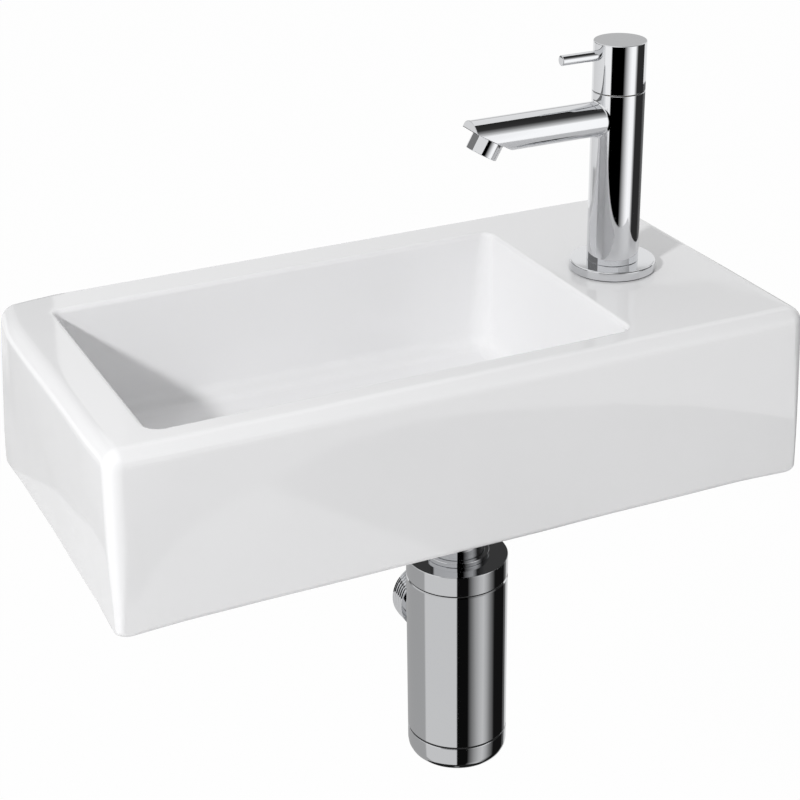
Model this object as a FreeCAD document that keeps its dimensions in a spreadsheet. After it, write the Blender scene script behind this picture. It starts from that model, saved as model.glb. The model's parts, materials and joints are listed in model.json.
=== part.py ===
import FreeCAD, Part
import math
import os
from types import SimpleNamespace

import Sketcher

# A wall-hung hand basin: a ceramic bowl with a tap deck at its right, a lever tap, a grid waste
# and a bottle trap.  Millimetres.  The origin lies midway between the two wall fixing holes, on
# the ceramic's back face: +X runs right along the wall, +Y goes into the wall and +Z goes up.

SIZES = (
    # Basin
    ("basin_width", "400", "basin from left to right"),
    ("basin_depth", "215", "basin from its front to the wall"),
    ("basin_height", "100", "basin from its foot to the deck"),
    ("edge_radius", "9", "rounding of the outer edges"),
    ("foot_radius", "4", "rounding of the lower edge"),
    ("outer_wall", "9", "side and back walls"),
    ("front_wall", "12", "front wall"),
    ("cavity_corner", "6", "corners of the hollow underside"),
    ("deck_thickness", "12", "ceramic under the deck"),
    ("rim_front", "20", "rim in front of the bowl"),
    ("rim_back", "30.5", "rim behind the bowl"),
    ("rim_left", "29", "rim at the bowl's left"),
    ("tap_deck", "101", "deck at the bowl's right"),
    ("rim_radius", "3", "rounding of the bowl's mouth"),
    ("bowl_depth", "70", "deck down to the floor at the drain"),
    ("bowl_draft", "7", "how far each bowl wall leans in"),
    ("bowl_wall", "10", "ceramic round the bowl"),
    ("front_left_corner", "8", "bowl corner at the front left"),
    ("back_left_corner", "3.5", "bowl corner at the back left"),
    ("right_corner", "6", "bowl corners beside the tap deck"),
    ("floor_fillet", "11", "hollow between bowl wall and floor"),
    ("floor_corner_margin", "4", "floor corners larger than that hollow by this"),
    ("floor_fall_angle", "1", "fall of the floor towards the drain, in degrees"),
    ("drain_pad", "11", "ceramic under the waste's flange"),
    ("drain_from_edge", "60", "drain axis left of the bowl's right edge"),
    ("drain_back", "5.25", "drain axis behind the bowl's middle"),
    ("drain_room", "1.5", "room round the waste in its hole"),
    ("tap_from_wall", "113", "tap axis from the wall"),
    ("tap_washer_room", "5", "between the bowl's wall and the tap's washers"),
    ("tap_hole", "35", "hole for the tap's shank"),
    ("fixing_spacing", "200", "between the two wall fixing holes"),
    ("fixing_drop", "40", "deck down to the wall fixing holes"),
    ("fixing_hole", "12", "wall fixing hole"),
    # Fits
    ("fit", "0.05", "room between pieces that are fixed together"),
    ("running_gap", "0.06", "room round a turning shaft or sliding seal"),
    ("slip", "0.3", "room between pieces that move past each other"),
    ("face_gap", "0.1", "room between flat faces that part"),
    ("overrun", "2", "how far a cut runs past the piece"),
    # Tap column
    ("base_gasket", "0.8", "gasket under the tap's base"),
    ("base_radius", "24.65", "round base of the tap"),
    ("base_thickness", "5", "round base of the tap"),
    ("base_chamfer", "1", "broken edge of the round base"),
    ("column_radius", "14.8", "tap column and handle cap"),
    ("seam_chamfer", "0.35", "broken edge at each seam of the column"),
    ("shank_radius", "10.478", "half-inch pipe thread"),
    ("shank_pitch", "1.814", "half-inch pipe thread"),
    ("shank_thread", "1.162", "depth of the half-inch pipe thread"),
    ("shank_bore", "5.5", "waterway in the shank and column, radius"),
    ("shank_drop", "52", "shank below the deck"),
    ("shank_grip", "11.5", "shank screwed into the column"),
    ("washer_radius", "22", "washers under the deck"),
    ("rubber_washer", "3", "thickness of the rubber washer"),
    ("steel_washer", "1.5", "thickness of the steel washer"),
    ("backnut_wall", "4.5", "tap backnut from its thread to its flats"),
    ("backnut_height", "8", "tap backnut"),
    # Spout
    ("spout_radius", "9.8", "outside of the spout"),
    ("spout_height", "90.4", "spout axis above the deck"),
    ("spout_reach", "84", "middle of the slanted mouth from the tap axis"),
    ("spout_nose", "92", "flat end above the slanted mouth, from the tap axis"),
    ("spout_slant_angle", "29.8", "slanted mouth from level, in degrees"),
    ("spout_bore", "5", "waterway in the spout, radius"),
    ("spout_bore_rise", "2", "waterway above the spout's axis"),
    ("spout_bore_stop", "6", "waterway stops short of the mouth's middle by this"),
    ("aerator_shift", "3.5", "aerator below the middle of the mouth, along the slant"),
    ("aerator_radius", "9.05", "aerator housing"),
    ("aerator_flats", "17.44", "aerator housing across its four flats"),
    ("aerator_drop", "9.1", "aerator housing below the mouth"),
    ("aerator_thread", "7", "aerator thread, radius"),
    ("aerator_grip", "3.6", "aerator screwed into the spout"),
    ("aerator_gasket", "1", "gasket on the aerator's thread"),
    ("aerator_wall", "1.1", "wall of the aerator's thread"),
    ("aerator_lip", "0.7", "lip that holds the insert"),
    ("aerator_lip_height", "1.2", "lip that holds the insert"),
    ("aerator_jet", "0.8", "jet hole of the insert, radius"),
    # Cartridge
    ("cartridge_length", "25.5", "cartridge from its end to the column's top"),
    ("chamber_room", "0.5", "room round the cartridge in the column"),
    ("cartridge_seal", "3", "seal under the cartridge"),
    ("cartridge_wall", "1.7", "wall of the cartridge round its discs"),
    ("cartridge_grip", "8", "cartridge thread in the column's top"),
    ("flange_step", "2.3", "cartridge's flange inside the column's edge"),
    ("cartridge_flange_height", "2.5", "flange on the column's top"),
    ("disc_radius", "7.5", "ceramic discs"),
    ("fixed_disc", "3", "thickness of the fixed disc"),
    ("turning_disc", "3.5", "thickness of the turning disc"),
    ("disc_port", "2", "ports through the discs, radius"),
    ("port_offset", "4.6", "ports from the axis"),
    ("disc_chamber", "18", "room in the cartridge for discs and driver"),
    ("window_width", "8", "side windows of the cartridge"),
    ("window_height", "9", "side windows of the cartridge"),
    ("window_base", "8.2", "side windows above the cartridge's end"),
    ("spindle_radius", "4", "spindle"),
    ("driver_room", "0.5", "driver bar short of the disc's edge"),
    ("driver_width", "5", "driver bar at the spindle's foot"),
    ("driver_height", "3", "driver bar at the spindle's foot"),
    ("tongue_width", "3", "tongue that turns the disc"),
    ("tongue_depth", "1.1", "tongue that turns the disc"),
    ("ring_groove", "1.2", "depth of the O-ring's groove"),
    ("ring_groove_base", "4", "O-ring's groove above the disc room"),
    ("clip_radius", "6", "spring clip"),
    ("clip_thickness", "0.8", "spring clip"),
    ("clip_groove", "0.8", "depth of the clip's groove"),
    ("clip_mouth", "4", "mouth of the spring clip"),
    # Handle
    ("cap_height", "27.5", "handle cap"),
    ("cap_room", "0.4", "room between the cap and the cartridge's flange"),
    ("cap_cavity_height", "5", "hollow foot of the cap"),
    ("cap_socket", "15", "spindle socket above the cap's foot"),
    ("cap_edge", "0.5", "broken upper edge of the cap"),
    ("lever_radius", "2.9", "lever rod"),
    ("lever_from_top", "7", "lever axis below the cap's top"),
    ("lever_reach", "37", "lever tip from the tap axis"),
    ("lever_web", "1", "metal between the spindle and the lever"),
    ("lever_edge", "0.4", "broken edge of the lever's tip"),
    ("grub_radius", "2", "grub screw"),
    ("grub_height", "10", "grub screw above the cap's foot"),
    ("grub_recess", "1.7", "grub screw inside the cap's surface"),
    ("grub_socket", "2", "hexagon socket across its flats"),
    ("grub_socket_depth", "3", "hexagon socket"),
    # Waste
    ("waste_flange", "32", "waste flange, radius"),
    ("waste_flange_height", "3", "waste flange"),
    ("waste_edge", "1.2", "broken edge of the flange and grid"),
    ("union_room", "6.5", "between the waste backnut and the union nut"),
    ("waste_thread", "20.955", "one-and-a-quarter-inch pipe thread, radius"),
    ("waste_pitch", "2.309", "one-and-a-quarter-inch pipe thread"),
    ("waste_thread_depth", "1.479", "one-and-a-quarter-inch pipe thread"),
    ("thread_runout", "3", "plain end of each thread"),
    ("waste_wall", "2", "wall of the waste under its thread"),
    ("upper_seal", "1.5", "seal under the waste flange"),
    ("seal_margin", "1", "seals end this far inside what they seal"),
    ("lower_washer", "4", "washer under the drain pad"),
    ("lower_washer_radius", "31", "washer under the drain pad"),
    ("waste_nut_wall", "5", "waste backnut from its thread to its flats"),
    ("waste_nut_height", "9", "waste backnut"),
    ("grid_radius", "24", "grid"),
    ("grid_thickness", "1.5", "grid"),
    ("grid_hole", "3.6", "grid hole, radius"),
    ("grid_hole_ring", "12", "ring of grid holes, radius"),
    ("bridge_width", "6", "bridge across the waste"),
    ("bridge_height", "8", "bridge across the waste"),
    ("bridge_drop", "4", "bridge below the grid"),
    ("bridge_boss", "6", "boss for the grid screw, radius"),
    ("screw_radius", "2.5", "grid screw"),
    ("screw_head", "5", "grid screw's head, radius"),
    ("screw_head_height", "1.8", "grid screw's head"),
    ("screw_slot", "1.2", "slot of the grid screw"),
    # Trap
    ("inlet_gasket", "2", "gasket at the waste's end"),
    ("pipe_radius", "16", "trap inlet pipe"),
    ("pipe_wall", "1", "trap inlet pipe"),
    ("pipe_flange_room", "0.5", "pipe's flange inside the union nut's thread"),
    ("pipe_flange_height", "2.5", "flange on the pipe's top"),
    ("inlet_nut_wall", "2.5", "inlet union nut from its thread to its flats"),
    ("inlet_nut_grip", "20", "inlet union nut on the waste's thread"),
    ("inlet_nut_lip", "2.5", "lip under the pipe's flange"),
    ("trap_drop", "42", "waste's end down to the trap's top"),
    ("trap_wall", "2", "trap"),
    ("trap_length", "139.3", "trap from its top to its bottom"),
    ("head_height", "13", "trap head that shows"),
    ("head_plate", "3", "top of the trap head"),
    ("head_skirt", "10", "skirt of the head inside the body"),
    ("skirt_wall", "2.4", "skirts of head and cup"),
    ("head_ledge", "2.5", "ledge under the pipe seal"),
    ("head_edge", "0.6", "broken edges of the trap"),
    ("socket_wall", "2.5", "wall round the collar nut's socket"),
    ("head_room", "4.85", "hollow between that wall and the skirt"),
    ("head_seal", "1", "seal between head and body"),
    ("collar_step", "0.9", "rim of the collar nut beyond its thread"),
    ("collar_height", "3", "collar nut that shows"),
    ("collar_grip", "8", "collar nut inside the head"),
    ("pipe_seal", "6", "height of the rubber seal round the pipe"),
    ("pipe_seal_width", "2.4", "rubber seal from the pipe outwards"),
    ("outlet_drop", "52.5", "trap's top down to the outlet's axis"),
    ("outlet_neck", "4", "plain neck between the trap and the outlet's thread"),
    ("outlet_wall", "3", "wall of the outlet under its thread"),
    ("outlet_thread_length", "15", "thread on the outlet"),
    ("cup_height", "18.6", "trap cup that shows"),
    ("cup_floor", "3", "floor of the cup"),
    ("cup_spigot", "11", "cup inside the body"),
    ("cup_fillet", "8", "rounded foot of the cup"),
    ("cup_seal", "0.8", "seal between cup and body"),
    ("dip_gap", "15", "cup's floor up to the pipe's end"),
)

GRID_HOLES = 8
JETS_PER_RING = 6
JET_RINGS = 2
HEXAGON_SIDES = 6
CREST_SHARE = 0.25
FULL_TURN = 360
HALF_TURN = 180
RIGHT_ANGLE = 90

# Points of a sketch's line or circle, and the sketch's own origin and axes.
START, END, CENTRE = range(1, 4)
UPRIGHT_AXIS, LEVEL_AXIS = range(-2, 0)
SKETCH_ORIGIN = (LEVEL_AXIS, START)
AXIS_BELOW = {"DistanceX": UPRIGHT_AXIS, "DistanceY": LEVEL_AXIS}
UP = FreeCAD.Vector(0, 0, 1)

doc = FreeCAD.newDocument("HandBasin")
pieces = []


class Size:
    """A length or an angle, with the formula that ties it to the sheet."""

    def __init__(self, value, formula):
        self.value = value
        self.formula = formula

    def __add__(self, other):
        other = as_size(other)
        return Size(self.value + other.value, "(%s + %s)" % (self.formula, other.formula))

    def __sub__(self, other):
        other = as_size(other)
        return Size(self.value - other.value, "(%s - %s)" % (self.formula, other.formula))

    def __rsub__(self, other):
        return as_size(other) - self

    def __mul__(self, other):
        other = as_size(other)
        return Size(self.value * other.value, "(%s * %s)" % (self.formula, other.formula))

    def __truediv__(self, other):
        other = as_size(other)
        return Size(self.value / other.value, "(%s / %s)" % (self.formula, other.formula))

    def __neg__(self):
        return Size(-self.value, "(-%s)" % self.formula)


def as_size(number):
    if isinstance(number, Size):
        return number
    return Size(float(number), "%.9f" % number)


def tangent(angle):
    return Size(math.tan(math.radians(angle.value)), "tan(%s)" % angle.formula)


def sine(angle):
    return Size(math.sin(math.radians(angle.value)), "sin(%s)" % angle.formula)


def cosine(angle):
    return Size(math.cos(math.radians(angle.value)), "cos(%s)" % angle.formula)


def whole(count):
    return Size(math.floor(count.value), "floor(%s)" % count.formula)


def fill_sheet():
    """Put every driving size in the sheet, and return them by name."""
    sheet = doc.addObject("Spreadsheet::Sheet", "Sizes")
    sizes = SimpleNamespace()
    for row, (alias, number, meaning) in enumerate(SIZES, start=1):
        sheet.set("A%d" % row, meaning)
        sheet.set("B%d" % row, number)
        sheet.setAlias("B%d" % row, alias)
        setattr(sizes, alias, Size(float(number), "Sizes." + alias))
    doc.recompute()
    return sizes


# Sketches and features


def new_body(label, where=(0, 0, 0), axis=None, angle=None, kept=True):
    """Start a piece at a place, turned about an axis if it doesn't stand upright."""
    body = doc.addObject("PartDesign::Body", label)
    body.Label = label
    if axis is not None:
        angle = as_size(angle)
        turn = FreeCAD.Rotation(FreeCAD.Vector(*axis), angle.value)
        body.Placement = FreeCAD.Placement(FreeCAD.Vector(), turn)
        body.setExpression("Placement.Rotation.Angle", angle.formula)
    for letter, place in zip("xyz", where):
        body.setExpression("Placement.Base." + letter, as_size(place).formula)
    if kept:
        pieces.append(body)
    return body


def sketch_on(body, role, lift=0):
    """Start a sketch on one of the body's own planes, lifted along the plane's normal."""
    plane = next(item for item in body.Origin.OriginFeatures if item.Role == role)
    sketch = body.newObject("Sketcher::SketchObject", "sketch")
    sketch.AttachmentSupport = [(plane, "")]
    sketch.MapMode = "FlatFace"
    sketch.setExpression("AttachmentOffset.Base.z", as_size(lift).formula)
    return sketch


def hold(sketch, kind, item, point, size):
    """Hold a point at its distance from the sketch's origin, or on the axis if that is zero."""
    size = as_size(size)
    if size.value == 0:
        sketch.addConstraint(Sketcher.Constraint("PointOnObject", item, point, AXIS_BELOW[kind]))
        return
    rule = Sketcher.Constraint(kind, *SKETCH_ORIGIN, item, point, size.value)
    index = sketch.addConstraint(rule)
    sketch.setExpression("Constraints[%d]" % index, size.formula)


def hold_radius(sketch, item, radius):
    index = sketch.addConstraint(Sketcher.Constraint("Radius", item, radius.value))
    sketch.setExpression("Constraints[%d]" % index, radius.formula)


def outline(sketch, points):
    """Draw a closed outline of straight lines through points given as sizes."""
    points = [(as_size(across), as_size(up)) for across, up in points]
    corners = [FreeCAD.Vector(across.value, up.value, 0) for across, up in points]
    count = len(points)
    first = sketch.GeometryCount
    for index in range(count):
        sketch.addGeometry(Part.LineSegment(corners[index], corners[(index + 1) % count]))
    for index, (across, up) in enumerate(points):
        line = first + index
        after = first + (index + 1) % count
        sketch.addConstraint(Sketcher.Constraint("Coincident", line, END, after, START))
        hold(sketch, "DistanceX", line, START, across)
        hold(sketch, "DistanceY", line, START, up)


def rectangle(sketch, left, right, low, high):
    outline(sketch, [(left, low), (right, low), (right, high), (left, high)])


def circle(sketch, radius, across=0, up=0):
    across = as_size(across)
    up = as_size(up)
    centre = FreeCAD.Vector(across.value, up.value, 0)
    item = sketch.addGeometry(Part.Circle(centre, UP, radius.value))
    hold(sketch, "DistanceX", item, CENTRE, across)
    hold(sketch, "DistanceY", item, CENTRE, up)
    hold_radius(sketch, item, radius)


def polygon(sketch, sides, across_flats):
    """Draw a regular polygon about the sketch's origin, with a flat facing along its axis."""
    points = []
    for index in range(sides):
        angle = (2 * index + 1) * math.pi / sides
        corner_share = 1 / (2 * math.cos(math.pi / sides))
        points.append((across_flats * (corner_share * math.cos(angle)),
                       across_flats * (corner_share * math.sin(angle))))
    outline(sketch, points)


def rounded_rectangle(sketch, left, right, front, back, radii):
    """Draw a rectangle whose corners, from the front left round, have their own radii."""
    corners = ((left, front), (right, front), (right, back), (left, back))
    inward = ((1, 1), (-1, 1), (-1, -1), (1, -1))
    centres = []
    for (across, up), (step_x, step_y), radius in zip(corners, inward, radii):
        centres.append(FreeCAD.Vector(across.value + step_x * radius.value,
                                      up.value + step_y * radius.value, 0))
    count = len(corners)
    arcs = []
    for index, (centre, radius) in enumerate(zip(centres, radii)):
        begin = math.pi + index * math.pi / 2
        round_corner = Part.Circle(centre, UP, radius.value)
        arc = Part.ArcOfCircle(round_corner, begin, begin + math.pi / 2)
        arcs.append(sketch.addGeometry(arc))
    lines = []
    for index in range(count):
        leave = sketch.Geometry[arcs[index]].EndPoint
        reach = sketch.Geometry[arcs[(index + 1) % count]].StartPoint
        lines.append(sketch.addGeometry(Part.LineSegment(leave, reach)))
    for index in range(count):
        line = lines[index]
        after = arcs[(index + 1) % count]
        sketch.addConstraint(Sketcher.Constraint("Tangent", arcs[index], END, line, START))
        sketch.addConstraint(Sketcher.Constraint("Tangent", line, END, after, START))
        level = "Horizontal" if index % 2 == 0 else "Vertical"
        sketch.addConstraint(Sketcher.Constraint(level, line))
        hold_radius(sketch, arcs[index], radii[index])
    for line, kind, size in zip(lines, ("DistanceY", "DistanceX") * 2, (front, right, back, left)):
        hold(sketch, kind, line, START, size)


def add_feature(body, kind, sketch, **bound):
    """Add a feature made from a sketch, with its sizes tied to the sheet."""
    feature = body.newObject("PartDesign::" + kind, kind.lower())
    feature.Profile = sketch
    for name, size in bound.items():
        feature.setExpression(name, as_size(size).formula)
    return feature


def pad(body, sketch, length, down=False):
    feature = add_feature(body, "Pad", sketch, Length=length)
    feature.Reversed = down
    doc.recompute()
    return feature


def pocket(body, sketch, depth, forward=False, both=False):
    """Cut a sketch into the body, against its normal unless it is to go forward."""
    doc.recompute()
    before = body.Shape.Volume
    feature = add_feature(body, "Pocket", sketch, Length=depth)
    feature.Reversed = forward
    if both:
        feature.SideType = "Symmetric"
    expect_cut(body, before)
    return feature


def groove(body, sketch):
    doc.recompute()
    before = body.Shape.Volume
    feature = add_feature(body, "Groove", sketch)
    feature.ReferenceAxis = (sketch, ["V_Axis"])
    feature.Angle = FULL_TURN
    expect_cut(body, before)
    return feature


def expect_cut(body, before):
    doc.recompute()
    if not body.Shape.Volume < before:
        raise RuntimeError("a cut takes nothing from " + body.Label)


def loft(body, upper, lower):
    feature = add_feature(body, "AdditiveLoft", upper)
    feature.Sections = [lower]
    feature.Ruled = True
    doc.recompute()
    return feature


def round_edges(body, radius, wanted):
    """Fillet the edges of the body's last feature that answer a test."""
    base = body.Tip
    chosen = []
    for index, edge in enumerate(base.Shape.Edges, start=1):
        if wanted(edge):
            chosen.append("Edge%d" % index)
    if not chosen:
        raise RuntimeError("no edge to round on " + body.Label)
    feature = body.newObject("PartDesign::Fillet", "fillet")
    feature.Base = (base, chosen)
    feature.setExpression("Radius", radius.formula)
    doc.recompute()


def polar(body, feature, sketch, count):
    """Repeat a cut round the normal of its sketch."""
    pattern = body.newObject("PartDesign::PolarPattern", "ring")
    pattern.Originals = [feature]
    pattern.Axis = (sketch, ["N_Axis"])
    pattern.Angle = FULL_TURN
    pattern.Occurrences = count
    body.Tip = pattern
    doc.recompute()


def turned(label, where, profile, **turn):
    """Make a piece by turning a profile of radii and heights about its axis."""
    body = new_body(label, where, **turn)
    sketch = sketch_on(body, "XZ_Plane")
    outline(sketch, profile)
    feature = add_feature(body, "Revolution", sketch)
    feature.ReferenceAxis = (sketch, ["V_Axis"])
    feature.Angle = FULL_TURN
    doc.recompute()
    return body


def ring(label, where, inner, outer, height, **turn):
    profile = [(inner, 0), (outer, 0), (outer, height), (inner, height)]
    return turned(label, where, profile, **turn)


def cut_thread(body, radius, depth, pitch, start, length):
    """Cut ring grooves along a turned piece, as a screw thread shows them."""
    sketch = sketch_on(body, "XZ_Plane")
    half = pitch * ((1 - CREST_SHARE) / 2)
    middle = start + half
    clear = radius + depth
    outline(sketch, [(radius - depth, middle), (radius, middle - half), (clear, middle - half),
                     (clear, middle + half), (radius, middle + half)])
    first = groove(body, sketch)
    pattern = body.newObject("PartDesign::LinearPattern", "thread")
    pattern.Originals = [first]
    pattern.Direction = (sketch, ["V_Axis"])
    pattern.Mode = "Spacing"
    pattern.setExpression("Offset", pitch.formula)
    pattern.setExpression("Occurrences", whole(length / pitch).formula)
    body.Tip = pattern
    doc.recompute()


def work_out_places(s):
    """Work out the levels, axes and sizes that pieces share."""
    at = SimpleNamespace()
    at.deck = s.fixing_drop
    at.foot = at.deck - s.basin_height
    at.left = -s.basin_width / 2
    at.right = s.basin_width / 2
    at.front = -s.basin_depth
    at.bowl_left = at.left + s.rim_left
    at.bowl_right = at.right - s.tap_deck
    at.bowl_front = at.front + s.rim_front
    at.bowl_back = -s.rim_back
    at.floor = at.deck - s.bowl_depth
    at.deck_under = at.deck - s.deck_thickness
    work_out_waste(s, at)
    work_out_trap(s, at)
    work_out_tap(s, at)
    return at


def work_out_waste(s, at):
    """Place the drain's axis and what hangs on it, from the bowl's floor down through the waste."""
    at.drain = (at.bowl_right - s.drain_from_edge, (at.bowl_front + at.bowl_back) / 2 + s.drain_back)
    at.drain_hole = s.waste_thread + s.drain_room
    at.recess = s.upper_seal + s.waste_flange_height
    at.pad_under = at.floor - at.recess - s.drain_pad
    at.washer_foot = at.pad_under - s.lower_washer
    at.waste_nut_foot = at.washer_foot - s.waste_nut_height
    at.waste_end = at.waste_nut_foot - s.union_room - s.inlet_nut_grip
    at.waste_length = at.floor - at.waste_end
    at.waste_clear = s.waste_thread + s.fit
    at.waste_bore = s.waste_thread - s.waste_thread_depth - s.waste_wall
    at.waste_nut_flats = (s.waste_thread + s.waste_nut_wall) * 2
    at.inlet_nut_flats = (s.waste_thread + s.inlet_nut_wall) * 2
    at.pipe_flange = s.waste_thread - s.pipe_flange_room


def work_out_trap(s, at):
    """Place the trap on the drain's axis, and size it from its pipe outwards."""
    at.pipe_top = at.waste_end - s.inlet_gasket
    at.trap_top = at.waste_end - s.trap_drop
    at.head_foot = at.trap_top - s.head_height
    at.body_top = at.head_foot - s.head_seal
    at.trap_foot = at.trap_top - s.trap_length
    at.cup_seam = at.trap_foot + s.cup_height
    at.body_foot = at.cup_seam + s.face_gap
    at.pipe_end = at.trap_foot + s.cup_floor + s.dip_gap
    at.collar_thread = s.pipe_radius + s.pipe_seal_width
    at.collar_radius = at.collar_thread + s.collar_step
    at.socket = at.collar_thread + s.slip
    at.socket_outside = at.socket + s.socket_wall
    at.skirt = at.socket_outside + s.head_room + s.skirt_wall
    at.trap_inside = at.skirt + s.fit
    at.trap_radius = at.trap_inside + s.trap_wall
    at.outlet = at.trap_top - s.outlet_drop
    at.outlet_reach = at.trap_radius + s.outlet_neck + s.outlet_thread_length
    at.outlet_bore = s.waste_thread - s.waste_thread_depth - s.outlet_wall


def work_out_tap(s, at):
    """Place the tap beside the bowl, and its cartridge where its windows face the spout."""
    tap_from_bowl = s.bowl_wall + s.washer_radius + s.tap_washer_room
    at.tap = (at.bowl_right + tap_from_bowl, -s.tap_from_wall)
    at.shank_clear = s.shank_radius + s.fit
    at.backnut_flats = (s.shank_radius + s.backnut_wall) * 2
    at.base = at.deck + s.base_gasket
    at.base_top = at.base + s.base_thickness
    at.spout = at.deck + s.spout_height
    at.port = at.spout + s.spout_bore_rise
    at.aerator_reach = s.spout_reach - s.aerator_shift * cosine(s.spout_slant_angle)
    at.aerator = at.spout - s.aerator_shift * sine(s.spout_slant_angle)
    at.aerator_bore = s.aerator_thread - s.aerator_wall
    at.aerator_jet_ring = (at.aerator_bore - s.aerator_lip - s.aerator_jet) / JET_RINGS

    at.cartridge = at.port - s.window_height / 2 - s.window_base
    at.seat = at.cartridge - s.cartridge_seal
    at.seat_height = at.seat - at.base_top
    at.column_top = at.cartridge + s.cartridge_length
    at.column_height = at.column_top - at.base_top
    at.cartridge_radius = s.disc_radius + s.face_gap + s.cartridge_wall
    at.chamber_radius = at.cartridge_radius + s.chamber_room
    at.cartridge_flange = s.column_radius - s.flange_step
    at.turning_disc = at.cartridge + s.fixed_disc + s.fit
    at.driver = at.turning_disc + s.turning_disc
    at.driver_length = (s.disc_radius - s.driver_room) * 2
    at.flange_top = at.column_top + s.cartridge_flange_height
    at.clip = at.flange_top + s.face_gap

    at.cap = at.column_top + s.slip
    at.cap_cavity = at.cartridge_flange + s.cap_room
    at.lever_height = s.cap_height - s.lever_from_top
    at.lever_root = s.spindle_radius + s.lever_web
    at.grub_start = s.spindle_radius + s.fit * 2
    at.grub_length = s.column_radius - at.grub_start - s.grub_recess


# Basin


def bowl_outline(sketch, at, grow, radii, origin=(0, 0)):
    """Draw the bowl's mouth, grown or shrunk evenly, from a chosen origin."""
    x, y = origin
    rounded_rectangle(sketch, at.bowl_left - grow - x, at.bowl_right + grow - x,
                      at.bowl_front - grow - y, at.bowl_back + grow - y, radii)


def mouth_corners(s):
    return [s.front_left_corner, s.right_corner, s.right_corner, s.back_left_corner]


def make_bowl_void(s, at):
    """Make the hollow of the bowl, with the seat and hole for the waste under it."""
    body = new_body("bowl_void", (*at.drain, at.floor), kept=False)
    mouth = sketch_on(body, "XY_Plane", s.bowl_depth)
    bowl_outline(mouth, at, as_size(0), mouth_corners(s), at.drain)
    pad(body, mouth, s.overrun)
    lower = sketch_on(body, "XY_Plane", -s.overrun)
    floor_corner = s.floor_fillet + s.floor_corner_margin
    bowl_outline(lower, at, -s.bowl_draft, [floor_corner] * 4, at.drain)
    loft(body, mouth, lower)

    # The floor is level round the waste and rises from there to the walls.
    recess_radius = s.waste_flange + s.overrun
    rise = (s.basin_width - recess_radius) * tangent(s.floor_fall_angle)
    below = -s.overrun * 2
    fall = sketch_on(body, "XZ_Plane")
    outline(fall, [(0, below), (s.basin_width, below), (s.basin_width, rise),
                   (recess_radius, 0), (0, 0)])
    groove(body, fall)
    low = s.floor_fillet.value
    near = recess_radius.value
    round_edges(body, s.floor_fillet, lambda edge: edge.BoundBox.ZMax < low
                and min(point.Point.Length for point in edge.Vertexes) > near + s.overrun.value)

    recess = sketch_on(body, "XY_Plane", s.overrun)
    circle(recess, s.waste_flange + s.slip)
    pad(body, recess, at.recess + s.overrun, down=True)
    hole = sketch_on(body, "XY_Plane")
    circle(hole, at.drain_hole)
    pad(body, hole, at.recess + s.drain_pad + s.overrun, down=True)
    return body


def make_basin(s, at):
    body = new_body("basin")
    base = sketch_on(body, "XY_Plane", at.foot)
    rectangle(base, at.left, at.right, at.front, 0)
    pad(body, base, s.basin_height)
    near_foot = at.foot.value + s.overrun.value
    round_edges(body, s.edge_radius, lambda edge: edge.BoundBox.ZMax > near_foot)
    round_edges(body, s.foot_radius, lambda edge: edge.BoundBox.ZMax < near_foot)

    # Hollow underside
    under = sketch_on(body, "XY_Plane", at.foot)
    rounded_rectangle(under, at.left + s.outer_wall, at.right - s.outer_wall,
                      at.front + s.front_wall, -s.outer_wall, [s.cavity_corner] * 4)
    pocket(body, under, s.basin_height - s.deck_thickness, forward=True)

    # Bowl that hangs in the hollow
    upper = sketch_on(body, "XY_Plane", at.deck - s.deck_thickness / 2)
    bowl_outline(upper, at, s.bowl_wall, [size + s.bowl_wall for size in mouth_corners(s)])
    lower = sketch_on(body, "XY_Plane", at.pad_under)
    corner = s.floor_fillet + s.floor_corner_margin + s.bowl_wall
    bowl_outline(lower, at, s.bowl_wall - s.bowl_draft, [corner] * 4)
    loft(body, upper, lower)
    void = make_bowl_void(s, at)
    before = body.Shape.Volume
    hollow = body.newObject("PartDesign::Boolean", "hollow")
    hollow.setObjects([void])
    hollow.Type = "Cut"
    expect_cut(body, before)

    def on_mouth(edge):
        middle = edge.BoundBox.Center
        level = edge.BoundBox.ZMin > at.deck.value - s.fit.value
        beside = at.bowl_left.value - s.overrun.value < middle.x < at.bowl_right.value + s.overrun.value
        ahead = at.bowl_front.value - s.overrun.value < middle.y < at.bowl_back.value + s.overrun.value
        return level and beside and ahead

    round_edges(body, s.rim_radius, on_mouth)

    tap_hole = sketch_on(body, "XY_Plane", at.deck)
    circle(tap_hole, s.tap_hole / 2, *at.tap)
    pocket(body, tap_hole, s.deck_thickness + s.overrun)
    fixings = sketch_on(body, "XZ_Plane")
    for side in (-1, 1):
        circle(fixings, s.fixing_hole / 2, s.fixing_spacing * side / 2, 0)
    pocket(body, fixings, s.outer_wall + s.overrun, forward=True)


# Tap


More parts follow.
